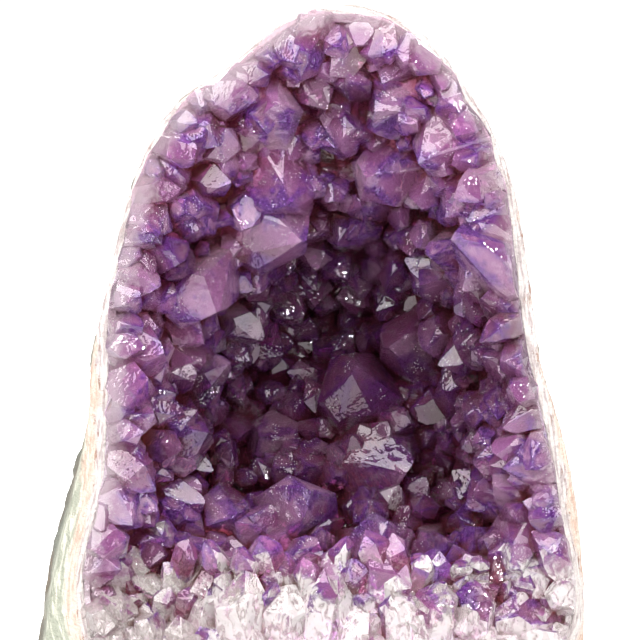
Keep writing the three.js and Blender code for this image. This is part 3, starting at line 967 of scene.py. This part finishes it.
def crystal_solid(width, length, depth, number, chip_count=0, worn=True, broken=False):
    """A crystal's points and faces, each point's inset and each face's tone.

    The inset is 0 at a face's edge and 1 in its middle. The tone is the crystal's and a little the face's.
    """
    sides, ends, foot = crystal_planes(width, length, depth, number)
    planes = [*sides, *ends, foot]
    if worn:
        planes += worn_edges(sides, ends, width, number)
    planes += chips(sides, ends, width, number, chip_count)
    if broken:
        planes.append(broken_head(width, length, number))
    corners, faces = solid_inside(planes, SAME_CORNER * width)
    points, inset, fans, tones = list(corners), [0.0] * len(corners), [], []
    own_tone = OWN_TONES.get(number, TONE_SPREAD * scatter(number, 12))
    for place, face in faces:
        tone = own_tone + FACE_TONE * (scatter(number, 120 + place) - 0.5)
        if place >= MAIN_PLANES:
            fans.append(face)
            tones.append(tone)
            continue
        middle = len(points)
        points.append(corners[face].mean(axis=0))
        inset.append(1.0)
        fans.extend([a, b, middle] for a, b in zip(face, face[1:] + face[:1]))
        tones.extend([tone] * len(face))
    return np.array(points), fans, np.array(inset), tones


print("one worn crystal has", len(crystal_solid(10, 12, 5, 1)[1]), "faces")

# %% [markdown]
# ## The crystals as one field
#
# Quartz often grows in parallel: a large crystal carries smaller ones on its flanks that point the same
# way. Each crystal of middle size gets two of them. Crystals are spun about their own length by the
# scatter, and a few large ones are turned further by listed angles, so that their flat faces don't all
# mirror a light. The numbers that the shader needs are written on the mesh: on each corner how far up the
# crystal it is and how far in from a face's edge, and on each face its tone.

# %% Crystal field
BUDS = {
    "on": (8.5, 14.5), "width": (0.4, 0.62), "length": (0.74, 0.95), "aside": (0.26, 0.42), "astray": 0.14,
}
FIRST_BUD_NUMBER = 1000
LIP_CHIPS = 4


def turned(points, direction, spin):
    """Points about the Z axis, spun and then turned to a direction."""
    matrix = np.array(Vector((0, 0, 1)).rotation_difference(Vector(direction)).to_matrix())
    cos, sin = math.cos(spin), math.sin(spin)
    return points @ np.array([[cos, sin, 0], [-sin, cos, 0], [0, 0, 1]]) @ matrix.T


def buds_on(crystal):
    """Smaller crystals on the flanks of a large one, nearly parallel to it."""
    buds = []
    least, most = BUDS["on"]
    if not least <= crystal["width"] < most or crystal["number"] >= LIP_FIRST_NUMBER:
        return buds
    for i in range(2):
        number = FIRST_BUD_NUMBER + 2 * crystal["number"] + i
        turn = 2 * math.pi * scatter(number, 14)
        aside = turned(np.array([[math.cos(turn), math.sin(turn), 0]]), crystal["direction"], 0)[0]
        astray = BUDS["astray"] * (np.array([scatter(number, k) for k in (15, 16, 17)]) - 0.5)
        offset = aside * crystal["width"] * between(BUDS["aside"], scatter(number, 18))
        width = crystal["width"] * between(BUDS["width"], scatter(number, 19))
        length = crystal["length"] * between(BUDS["length"], scatter(number, 13))
        way = unit(crystal["direction"] + astray)
        bud = crystal_at(crystal["root"] + offset, way, width, length, number)
        buds.append({**bud, "spin_like": crystal["number"]})
    return buds


def write_numbers(mesh, growth, inset, tone, number):
    """Writes growth and inset on each face corner, and the tone and number on each face."""
    loops = np.zeros(len(mesh.loops), int)
    mesh.loops.foreach_get("vertex_index", loops)
    for name, values in (("growth", growth), ("inset", inset)):
        write_attribute(mesh, name, "FLOAT", "CORNER", values[loops])
    write_attribute(mesh, "tone", "FLOAT", "FACE", tone)
    write_attribute(mesh, "number", "INT", "FACE", number)


def crystal_field(name, placed):
    """One mesh with every placed crystal as a closed solid of its own."""
    points, faces, growth, insets, tones, numbers = [], [], [], [], [], []
    for index, crystal in enumerate(placed):
        number, length = crystal["number"], crystal["length"]
        on_lip = LIP_FIRST_NUMBER <= number < FIRST_BUD_NUMBER
        chip_count = LIP_CHIPS if on_lip else 1 + int(3 * scatter(number, 90))
        solid = crystal_solid(crystal["width"], length, ROOT_DEPTH, number, chip_count, broken=on_lip)
        own_points, own_faces, inset, own_tones = solid
        like = crystal.get("spin_like", number)
        spin = scatter(like, 4) * math.pi + math.radians(OWN_TURNS.get(like, 0))
        first = len(points)
        points.extend(turned(own_points, crystal["direction"], spin) + crystal["root"])
        growth.extend(own_points[:, 2] / length)
        insets.extend(inset)
        faces.extend([[first + c for c in face] for face in own_faces])
        tones.extend(own_tones)
        numbers.extend([index + 1] * len(own_faces))
    mesh = plain_mesh(name, points, faces)
    write_numbers(mesh, np.array(growth), np.array(insets), tones, numbers)
    print(name, "has", len(placed), "crystals and", len(faces), "faces")
    return shown(mesh)


crystals += [bud for crystal in crystals for bud in buds_on(crystal)]
crystal_twins = crystal_field("crystal_twins", crystals)

# %% [markdown]
# ## The bed and the space for the crust
#
# The crystals stand in a thin bed on the wall. Where a crystal would grow into the stone it has to be
# cut, so the space that the crust may fill is a solid too: the hollow, less a hair's breadth, and a
# little out in front, where a crystal may overhang the rim a little without touching it, and where its
# flank is broken unevenly. At the top the crystals hang out a little further than at the sides.

# %% Bed and space
BED_STEPS = 96
BED_RINGS = 20
FAR_BACK = 90
FREE_IN_FRONT = 1.6
OVERHANGS = ((-0.9, 0.9), (-1.9, 0.6))
OVERHANG_AT_TOP = 1.4
OVER_RIM = 0.75
BED_NUMBERS = {"growth": 0.06, "inset": 0.5, "tone": 0.5}
CUT_NUMBERS = {"growth": 0.6, "inset": 0.5, "tone": 0.6}


def wall_rings(taken_in):
    shares = [math.sin(QUARTER_TURN * (i + 1) / BED_RINGS) for i in range(BED_RINGS)]
    return [hollow_point(ring_angles(BED_STEPS), share, taken_in) for share in shares]


def plain_numbers(mesh, growth, inset, tone):
    points, faces = len(mesh.vertices), len(mesh.polygons)
    write_numbers(mesh, np.full(points, growth), np.full(points, inset), [tone] * faces, [0] * faces)
    return mesh


def bed_mesh():
    rings = [ring - [0, BED_ABOVE_RIM, 0] for ring in wall_rings(BED_THICKNESS)]
    out = rings[-1] * [1, 0, 1] - [0, 0, CENTRE_Z]
    edge = rings[-1] + 2 * BED_THICKNESS * out / np.linalg.norm(out, axis=1, keepdims=True)
    back = edge * [1, 0, 1] + [0, FAR_BACK, 0]
    middle = hollow_point(0.0, 0.0, BED_THICKNESS)
    mesh = skin_mesh("bed", middle, [*rings, edge, back], [0, FAR_BACK, CENTRE_Z])
    return plain_numbers(mesh, **BED_NUMBERS)


def space_mesh():
    rings = wall_rings(SEEN_GAP)
    out = PROUD_OF_RIM + FREE_IN_FRONT
    edge = rings[-1]
    away = (edge - [0, 0, CENTRE_Z]) * [1, 0, 1]
    away /= np.linalg.norm(away, axis=1, keepdims=True)
    at_top = OVERHANG_AT_TOP * np.clip(2 * away[:, 2:] - 1, 0, 1)
    over, outermost = (
        edge + away * (at_top + [[between(limits, scatter(i, 33 + k))] for i in range(BED_STEPS)])
        for k, limits in enumerate(OVERHANGS)
    )
    face = rim_y(edge[:, 0], edge[:, 2])[:, None]
    steps = ((edge, OVER_RIM), (over, OVER_RIM + 0.2), (outermost, out))
    front = [ring * [1, 0, 1] + [0, 1, 0] * (face - forwards) for ring, forwards in steps]
    middle = [0, rim_y(0, CENTRE_Z) - out, CENTRE_Z]
    mesh = skin_mesh("crust_space", hollow_point(0.0, 0.0, SEEN_GAP), [*rings, *front], middle)
    return plain_numbers(mesh, **CUT_NUMBERS)


bed = shown(bed_mesh())
crust_space = shown(space_mesh())

# %% [markdown]
# ## Small crystals by Geometry Nodes
#
# Between the large crystals the wall is covered in small ones, and so is the lower lip. Points are
# scattered over both, no two too close, and each gets one of a few crystal shapes, leaning out of the
# wall or up from the lip. A boolean union then melts the bed, the large crystals and the small ones into
# a single closed solid, as they grew, and an intersection cuts it to its space. The union takes instances
# one by one, so they are realized after it.

# %% Crust tree
DENSEST = 4e5
FIRST_SMALL_NUMBER = 500
SMALL_SLIMNESS = (1.0, 1.5)
SMALL_ROOT = 0.6


def crystal_shapes(count):
    """A few crystals one unit wide, for the tree to pick from."""
    folder = bpy.data.collections.new("small_crystal_shapes")
    for i in range(count):
        number = FIRST_SMALL_NUMBER + i
        length = between(SMALL_SLIMNESS, scatter(number, 13))
        points, faces, inset, tones = crystal_solid(1, length, SMALL_ROOT, number, chip_count=1, worn=False)
        mesh = plain_mesh(f"small_crystal_{i}", points, faces, unit_size=1)
        write_numbers(mesh, points[:, 2] / length, inset, tones, [0] * len(faces))
        folder.objects.link(bpy.data.objects.new(mesh.name, mesh))
    return folder


def random_value(low, high, seed, kind="FLOAT"):
    first = {"FLOAT": 2, "FLOAT_VECTOR": 0}[kind]
    inputs = {first: low, first + 1: high, "Seed": seed}
    made = node(tree_of(seed), "FunctionNodeRandomValue", inputs, data_type=kind)
    return made.outputs[1 if kind == "FLOAT" else 0]


def crystals_on(tree, ground, shapes, spacing, least, greatest, lean, astray, seed):
    """Small crystals on a surface, as instances. Lean is added to the way that they point."""
    points = node(
        tree, "GeometryNodeDistributePointsOnFaces",
        {"Mesh": ground, "Distance Min": spacing, "Density Max": DENSEST, "Seed": seed},
        distribute_method="POISSON",
    )
    low = vector_node("SCALE", (-1, -1, -1), scale=astray)
    high = vector_node("SCALE", (1, 1, 1), scale=astray)
    wild = random_value(low, high, seed, "FLOAT_VECTOR")
    way = vector_node("ADD", vector_node("ADD", points.outputs["Normal"], lean), wild)
    turn = node(tree, "FunctionNodeAlignRotationToVector", {"Vector": way}, axis="Z").outputs[0]
    spin = node(tree, "ShaderNodeCombineXYZ", {"Z": random_value(0.0, math.pi, seed)}).outputs[0]
    both = {"Rotation": turn, "Rotate By": spin}
    turn = node(tree, "FunctionNodeRotateRotation", both, rotation_space="LOCAL").outputs[0]
    inputs = {
        "Points": points.outputs["Points"], "Instance": shapes, "Pick Instance": True, "Rotation": turn,
        "Scale": random_value(least, greatest, seed),
    }
    return node(tree, "GeometryNodeInstanceOnPoints", inputs).outputs[0]


def crust_tree():
    tree, given, result = new_tree(
        "grown crust", "GeometryNodeTree",
        {
            "Wall": "Geometry", "Lip": "Object", "Large Crystals": "Object", "Bed": "Object",
            "Space": "Object", "Small Crystals": "Collection", "Wall Spacing": 5.4 * MM,
            "Wall Least Width": 4.5 * MM, "Wall Greatest Width": 8.5 * MM, "Wall Lean": (0, -0.7, 0),
            "Lip Spacing": 4.0 * MM, "Lip Least Width": 3.5 * MM, "Lip Greatest Width": 7.0 * MM,
            "Lip Lean": (0, 0.6, 1.1), "Astray": 0.9, "Seed": 4, "Material": "Material",
        },
        {"Crust": "Geometry"},
    )
    inputs = given.outputs

    def geometry_of(label):
        return node(tree, "GeometryNodeObjectInfo", {"Object": inputs[label]}).outputs["Geometry"]

    choice = {"Collection": inputs["Small Crystals"], "Separate Children": True, "Reset Children": True}
    shapes = node(tree, "GeometryNodeCollectionInfo", choice).outputs[0]
    on_wall, on_lip = (
        crystals_on(
            tree, ground, shapes, inputs[f"{place} Spacing"], inputs[f"{place} Least Width"],
            inputs[f"{place} Greatest Width"], inputs[f"{place} Lean"], inputs["Astray"], inputs["Seed"],
        )
        for place, ground in (("Wall", inputs["Wall"]), ("Lip", geometry_of("Lip")))
    )
    large = {0: geometry_of("Large Crystals"), "Group ID": named_number(tree, "number", "INT")}
    single = node(tree, "GeometryNodeSplitToInstances", large, domain="FACE").outputs[0]
    union = node(tree, "GeometryNodeMeshBoolean", operation="UNION", solver="MANIFOLD")
    for part in (geometry_of("Bed"), single, on_wall, on_lip):
        tree.links.new(part, union.inputs["Mesh 2"])
    cut = node(tree, "GeometryNodeMeshBoolean", operation="INTERSECT", solver="MANIFOLD")
    for part in (union.outputs[0], geometry_of("Space")):
        tree.links.new(part, cut.inputs["Mesh 2"])
    end_tree(tree, cut.outputs[0], inputs["Material"], result)
    return tree


# %% [markdown]
# ## Amethyst
#
# Quartz is clear, so the material lets light through, with quartz's own index of refraction and a plum
# absorption inside. It is cloudy as well, which the part that isn't transmitted shows. The colour follows
# the growth number: iron-stained at the root, plum in the column, pale at the tip. The gaps between the
# crystals are painted red-brown as shade, with some iron stain, open places are painted a little paler, and
# white specks there are painted glints. Violet zones run beside the edges of the faces, as they do in a
# crystal that grew in layers. Deep in the hollow everything is darker, which is painted shade, beside the
# rim it is pale, and on the lower lip the crystals are broken across and milky, and only their tips are
# violet, with painted shade and some stain in the gaps between them. All these places are numbers that the
# next step writes on the mesh.

# %% Amethyst material
# Red-brown for the crystals' roots, which is iron stain, and for the gaps between them, which is painted
# shade with some iron stain.
ROOT_STAIN_AND_GAP_SHADE = (0.19, 0.042, 0.026)
BROWN_MAUVE = (0.21, 0.065, 0.085)
PLUM = (0.23, 0.068, 0.155)
MAUVE = (0.35, 0.125, 0.31)
LILAC = (0.48, 0.22, 0.46)
PALE_PINK = (0.71, 0.46, 0.63)
VIOLET = (0.23, 0.075, 0.41)
DEEP_VIOLET = (0.075, 0.014, 0.19)
# Maroon for the painted shade deep in the hollow.
SHADE_MAROON = (0.058, 0.007, 0.024)
SMOKY = (0.14, 0.055, 0.065)
RIM_PALE = (0.70, 0.56, 0.62)
# White for painted glints.
PAINTED_GLINT = (0.95, 0.93, 0.90)
MILK = (0.95, 0.92, 0.88)
GREY_MILK = (0.56, 0.49, 0.47)
# Brown for the gaps between the lip's crystals: painted shade with some stain.
LIP_GAP_SHADE_AND_STAIN = (0.30, 0.18, 0.12)
LIP_SMOKE = (0.26, 0.20, 0.17)
CRACK_SCALE = (0.75, 0.75, 0.4)
QUARTZ_IOR = 1.544
CLEAR_SHARE = 0.68
ABSORPTION_COLOUR = (0.84, 0.45, 0.80)
ABSORPTION_DENSITY = 48
FACE_WAVES = {"Distance": 0.3 * MM, "Strength": 0.5}
VIOLET_SHARE = 0.88
VEIL_SHARE = 0.4
# How strongly the gaps are painted with shade and stain.
GAP_SHADE_AND_STAIN_SHARE = 0.85


def swayed(value, cloud, sway):
    """A value moved up or down by a cloud."""
    return math_node("ADD", value, math_node("MULTIPLY_ADD", cloud, 2 * sway, -sway))


def amethyst_colour(tree, soft, fine, near):
    """The colour of the violet crystals, before rim and milk."""
    grown = math_node("MULTIPLY_ADD", near["growth"], 0.8, -0.3)
    # Painted light and shade: open places and tips move towards the pale end of the ramp, and gaps towards
    # the dark end.
    grown = math_node("MULTIPLY_ADD", near["open"], 0.45, grown)
    colour = ramp(swayed(grown, soft["Cloud"], 0.3), [
        (0.0, ROOT_STAIN_AND_GAP_SHADE), (0.2, BROWN_MAUVE), (0.4, PLUM), (0.62, MAUVE), (0.84, LILAC), (1.0, PALE_PINK),
    ])
    own = ramp(near["tone"], [(0.0, SMOKY), (0.35, PLUM), (0.65, MAUVE), (0.95, PALE_PINK)])
    colour = mixed(0.5, colour, own)
    veil = product(step_between(fine["Cloud"], 0.56, 0.7), VEIL_SHARE)
    colour = mixed(veil, colour, PALE_PINK)
    band = step_between(swayed(near["inset"], fine["Cloud"], 0.5), 0.62, 0.1)
    outer_half = step_between(near["growth"], 0.25, 0.6)
    violet = product(band, outer_half, step_between(soft["Cloud"], 0.4, 0.58))
    cores = product(step_between(fine["Lumps"], 0.5, 0.1), step_between(soft["Cloud"], 0.5, 0.6))
    violet = product(math_node("MAXIMUM", violet, cores), VIOLET_SHARE)
    violets = mixed(step_between(fine["Grain"], 0.42, 0.6), DEEP_VIOLET, VIOLET)
    colour = mixed(violet, colour, violets)
    # Painted shade: the gaps between crystals, where the openness number is low, turn red-brown, with some
    # iron stain.
    in_gap = step_between(swayed(near["open"], fine["Cloud"], 0.1), 0.45, 0.2)
    return mixed(product(in_gap, GAP_SHADE_AND_STAIN_SHARE), colour, ROOT_STAIN_AND_GAP_SHADE)


def upright_streaks(tree):
    """Noise drawn out upwards, as the cracks are in the broken crystals of the lip."""
    drawn_out = vector_node("MULTIPLY", place_on(tree), CRACK_SCALE)
    cracks = {"Vector": drawn_out, "Scale": 1 / MM, "Detail": 3, "Distortion": 1.2}
    return node(tree, "ShaderNodeTexNoise", cracks).outputs["Fac"]


def amethyst_material():
    material, tree, shader = new_material("amethyst")
    soft = clouds(tree, cloud_size=8, grain_size=2.2, warp=0)
    fine = clouds(tree, cloud_size=2.6, grain_size=0.6, warp=1.5)
    numbers = ("growth", "inset", "tone", "open", "dark", "rim", "milk", "smoke")
    near = {name: attribute(tree, name) for name in numbers}
    colour = amethyst_colour(tree, soft, fine, near)
    pale = step_between(swayed(near["rim"], fine["Cloud"], 4), 4.5, 0.2)
    pale = product(pale, math_node("MULTIPLY_ADD", soft["Cells"], 0.35, 0.6))
    # Painted shade: the dark number turns the crystals deep maroon in the deep parts of the hollow.
    colour = mixed(near["dark"], mixed(pale, colour, RIM_PALE), SHADE_MAROON)
    # Painted glints: white specks in the base colour, only on the open places of the crystals.
    outer = step_between(near["open"], 0.4, 0.6)
    sparks = product(fine["Specks"], step_between(fine["Cells"], 0.82, 0.86), outer)
    colour = mixed(product(sparks, 0.8), colour, PAINTED_GLINT)
    below = swayed(swayed(near["milk"], soft["Cloud"], 16), fine["Cloud"], 8)
    milky = step_between(swayed(below, near["tone"], 8), -3, 3)
    frosted = upright_streaks(tree)
    milk = mixed(step_between(frosted, 0.46, 0.62), MILK, GREY_MILK)
    smoky = math_node("MAXIMUM", near["smoke"], step_between(soft["Cells"], 0.66, 0.9))
    milk = mixed(product(smoky, step_between(frosted, 0.62, 0.4), 0.65), milk, LIP_SMOKE)
    # Painted shade with some stain in the gaps between the lip's crystals, where the openness number is low.
    milk = mixed(product(step_between(near["open"], 0.45, 0.15), 0.8), milk, LIP_GAP_SHADE_AND_STAIN)
    tree.links.new(mixed(milky, colour, milk), shader.inputs["Base Color"])
    rough = math_node("MULTIPLY_ADD", step_between(fine["Cloud"], 0.5, 0.75), 0.1, 0.02)
    rough = math_node("MULTIPLY_ADD", near["tone"], 0.04, rough)
    tree.links.new(rough, shader.inputs["Roughness"])
    near_lip = step_between(near["milk"], -6, 2)
    rugged = math_node("MAXIMUM", near_lip, step_between(near["tone"], 0.7, 0.8))
    waves = math_node("MULTIPLY_ADD", product(fine["Lumps"], rugged), 2.2, product(soft["Grain"], 1.2))
    add_bump(tree, shader, waves, FACE_WAVES)
    shader.inputs["IOR"].default_value = QUARTZ_IOR
    shader.inputs["Transmission Weight"].default_value = CLEAR_SHARE
    absorbing = {"Color": (*ABSORPTION_COLOUR, 1), "Density": ABSORPTION_DENSITY}
    inside = node(tree, "ShaderNodeVolumeAbsorption", absorbing)
    tree.links.new(inside.outputs[0], tree.nodes["Material Output"].inputs["Volume"])
    return material


AMETHYST = amethyst_material()

# %% [markdown]
# ## Growing the crust
#
# The wall that the small crystals are scattered on is the front of the bed. The lip is a curved sheet
# just behind the rim's face, low down. What comes out of the tree is one closed mesh of flat faces.

# %% Crust
LIP_SHEET = {"x": (-49, 54), "z": (4, 35), "behind_rim": 5.5, "steps": (24, 8)}


def wall_ground():
    rings = [ring - [0, BED_ABOVE_RIM, 0] for ring in wall_rings(BED_THICKNESS)]
    points = np.vstack([hollow_point(0.0, 0.0, BED_THICKNESS)[None], *rings])
    faces = [face for face in skin_faces(len(rings), BED_STEPS) if max(face) < len(points)]
    mesh = plain_mesh("wall_ground", points, faces)
    if mesh.polygons[0].normal.y > 0:
        mesh.flip_normals()
    return shown(mesh)


def lip_ground():
    columns, rows = LIP_SHEET["steps"]
    x, z = np.meshgrid(np.linspace(*LIP_SHEET["x"], columns), np.linspace(*LIP_SHEET["z"], rows))
    y = rim_y(x, z) + LIP_SHEET["behind_rim"]
    points = np.stack([x, y, z], axis=-1).reshape(-1, 3)
    faces = []
    for row in range(rows - 1):
        for column in range(columns - 1):
            first = row * columns + column
            faces.append((first, first + 1, first + columns + 1, first + columns))
    return shown(plain_mesh("lip_ground", points, faces))


def grow_crust():
    wall, lip = wall_ground(), lip_ground()
    made = run_tree(wall, crust_tree(), {
        "Lip": lip, "Large Crystals": crystal_twins, "Bed": bed, "Space": crust_space,
        "Small Crystals": crystal_shapes(count=8), "Material": AMETHYST,
    })
    for used in (wall, lip, crystal_twins, bed, crust_space):
        bpy.data.objects.remove(used)
    return made


crust_mesh = grow_crust()
crust_mesh.name = "amethyst_crust"
crust_mesh.shade_flat()
crust = shown(crust_mesh)
crust_mesh.calc_loop_triangles()
print("crust:", len(crust_mesh.polygons), "faces,", len(crust_mesh.loop_triangles), "triangles")

# %% [markdown]
# ## Where each point of the crust is
#
# Each point gets a number for how open it lies: rays go out from it, and the share that meets no
# neighbour is the number. The shader paints shade with it, red-brown in the gaps between crystals, where
# some iron stain gathers too. Others tell how far it is from the rim, how much painted shade its part of
# the hollow gets, and how far below the line where the quartz of the lip turns milky.

# %% Numbers on the crust
NEIGHBOUR = 7
LOOKS = 44
LIFTED = 0.05
# Pockets of painted shade in the hollow: x, z, reach across and reach up, in millimetres.
SHADED_POCKETS = [
    (12, 75, 29, 19), (32, 78, 15, 13), (-29, 98, 8, 7), (8, 130, 12, 5), (31, 56, 5, 9), (-14, 64, 12, 10),
    (40, 87, 7, 13), (43, 79, 6, 12), (-24, 69, 8, 6),
]
POCKET_SHADE = 0.6
POCKET_EDGE = (1.3, 0.5)
POCKET_STARTS = (-4, 3)
PALER_LEFT = 0.03
# How much painted shade the crystals get deep behind the rim.
DEPTH_SHADE = 0.72
DEPTH_STARTS = (10, 30)
RIM_REACHES_BACK = 3
MILK_LINE = 29.5
MILK_FALLS = {"behind": 10, "slope": 1.5}
SMOKY_END = (-18, -26)


def smooth_step(values, low, high):
    share = np.clip((values - low) / (high - low), 0, 1)
    return share * share * (3 - 2 * share)


def looks():
    """Directions spread evenly over a sphere, along a golden spiral."""
    turns = np.arange(LOOKS) * math.pi * (3 - math.sqrt(5))
    heights = 1 - (2 * np.arange(LOOKS) + 1) / LOOKS
    rings = np.sqrt(1 - heights**2)
    return [Vector(way) for way in np.stack([rings * np.cos(turns), rings * np.sin(turns), heights], axis=1)]


def openness(mesh):
    """For each point, the share of the ways ahead in which no neighbour stands: 0 in a gap, 1 on a tip."""
    shape = BVHTree.FromPolygons([p.co for p in mesh.vertices], [f.vertices[:] for f in mesh.polygons])
    ways = looks()
    shares = []
    for point in mesh.vertices:
        start = point.co + point.normal * LIFTED * MM
        ahead = [way for way in ways if way.dot(point.normal) > 0.1]
        free = sum(shape.ray_cast(start, way, NEIGHBOUR * MM)[0] is None for way in ahead)
        shares.append(free / max(1, len(ahead)))
    return np.array(shares)


def write_places(mesh):
    places = np.zeros(3 * len(mesh.vertices))
    mesh.vertices.foreach_get("co", places)
    x, y, z = places.reshape(-1, 3).T / MM
    behind = y - rim_y(x, z)
    angle = np.arctan2(z - CENTRE_Z, x)
    # Painted shade: the dark number rises in the listed pockets and deep behind the rim.
    pockets = [
        smooth_step(((x - a) / c) ** 2 + ((z - b) / d) ** 2, *POCKET_EDGE) for a, b, c, d in SHADED_POCKETS
    ]
    pocket = np.max(pockets, axis=0) * smooth_step(behind, *POCKET_STARTS) * POCKET_SHADE
    to_rim = radius_at(RIM_INNER, angle) - np.hypot(x, z - CENTRE_Z)
    numbers = {
        "open": openness(mesh),
        "dark": np.maximum(pocket, DEPTH_SHADE * smooth_step(behind, *DEPTH_STARTS)),
        "rim": to_rim + np.maximum(0, behind - RIM_REACHES_BACK) + PALER_LEFT * x,
        "milk": MILK_LINE - z - MILK_FALLS["slope"] * np.maximum(0, behind - MILK_FALLS["behind"]),
        "smoke": smooth_step(x, *SMOKY_END),
    }
    for name, values in numbers.items():
        write_attribute(mesh, name, "FLOAT", "POINT", values)
        print(name, "from", round(float(values.min()), 2), "to", round(float(values.max()), 2))


write_places(crust_mesh)

# %% [markdown]
# ## Joining the pieces to the frame
#
# Both pieces stand for the two solids, which are hidden, and ride on the only body.

# %% Frame calls
for piece, cad_node, slot_name in ((rind, "rind", "rind_stone"), (crust, "crystal_crust", "amethyst")):
    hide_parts(cad_node)
    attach(piece, "root")

# %% [markdown]
# ## Floor and light
#
# The stone is shown as in a catalogue, on white. Crystal faces look like crystal only when they mirror
# something, so large soft boxes stand round it, and two small lamps give the sparks. The sky is dimmer
# for the stone than for the camera, and the floor glows a little for the camera alone. That keeps the
# hollow dark and the ground clean.

# %% Floor and light
FLOOR_SIZE = 60
FLOOR_GLOW = 1.0
SOFT_BOXES = {
    "left box": {"place": (-0.55, -0.60, 0.45), "size": 0.75, "power": 12},
    "right box": {"place": (0.55, -0.50, 0.38), "size": 0.60, "power": 5.4},
    "top box": {"place": (0.05, -0.25, 0.80), "size": 0.7, "power": 10.6},
    "back box": {"place": (0.0, 0.7, 0.5), "size": 0.6, "power": 5},
    "left lamp": {"place": (-0.25, -0.9, 0.55), "size": 0.05, "power": 1.5},
    "right lamp": {"place": (0.35, -0.8, 0.30), "size": 0.05, "power": 1.4},
}


def add_floor():
    corners = [(-0.5, -0.5, 0), (0.5, -0.5, 0), (0.5, 0.5, 0), (-0.5, 0.5, 0)]
    mesh = plain_mesh("floor", corners, [(0, 1, 2, 3)], unit_size=FLOOR_SIZE)
    material, tree, shader = new_material("floor_white")
    shader.inputs["Base Color"].default_value = (0.85, 0.85, 0.85, 1)
    shader.inputs["Roughness"].default_value = 0.6
    shader.inputs["Emission Color"].default_value = (1, 1, 1, 1)
    seen = node(tree, "ShaderNodeLightPath").outputs["Is Camera Ray"]
    tree.links.new(product(seen, FLOOR_GLOW), shader.inputs["Emission Strength"])
    mesh.materials.append(material)
    floor = shown(mesh)
    floor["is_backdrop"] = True
    return floor


def add_soft_box(name, place, size, power):
    light = bpy.data.lights.new(name, "AREA")
    light.energy = power
    light.size = size
    box = bpy.data.objects.new(name, light)
    box.location = place
    box.rotation_euler = (CAMERA_AIM - box.location).to_track_quat("-Z", "Y").to_euler()
    bpy.context.scene.collection.objects.link(box)


def add_sky(for_stone, for_camera):
    world = bpy.data.worlds.new("studio")
    world.use_nodes = True
    tree = world.node_tree
    seen = node(tree, "ShaderNodeLightPath").outputs["Is Camera Ray"]
    inputs = {"Value": seen, "To Min": for_stone, "To Max": for_camera}
    strength = node(tree, "ShaderNodeMapRange", inputs).outputs["Result"]
    tree.nodes["Background"].inputs["Color"].default_value = (1, 1, 1, 1)
    tree.links.new(strength, tree.nodes["Background"].inputs["Strength"])
    bpy.context.scene.world = world


add_floor()
for name, box in SOFT_BOXES.items():
    add_soft_box(name, **box)
add_sky(for_stone=0.11, for_camera=1.2)
bpy.context.scene.view_settings.view_transform = "Standard"

# %% [markdown]
# ## Sizes
#
# The finished pieces are measured beside the solids that they stand for, and both boxes are printed.

# %% Sizes and the end
low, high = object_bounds()
sizes = {"cad": [list(cad_low), list(cad_high)], "visual": [list(low), list(high)]}
for label, pair in sizes.items():
    print(label, [[round(v / MM, 1) for v in corner] for corner in pair])
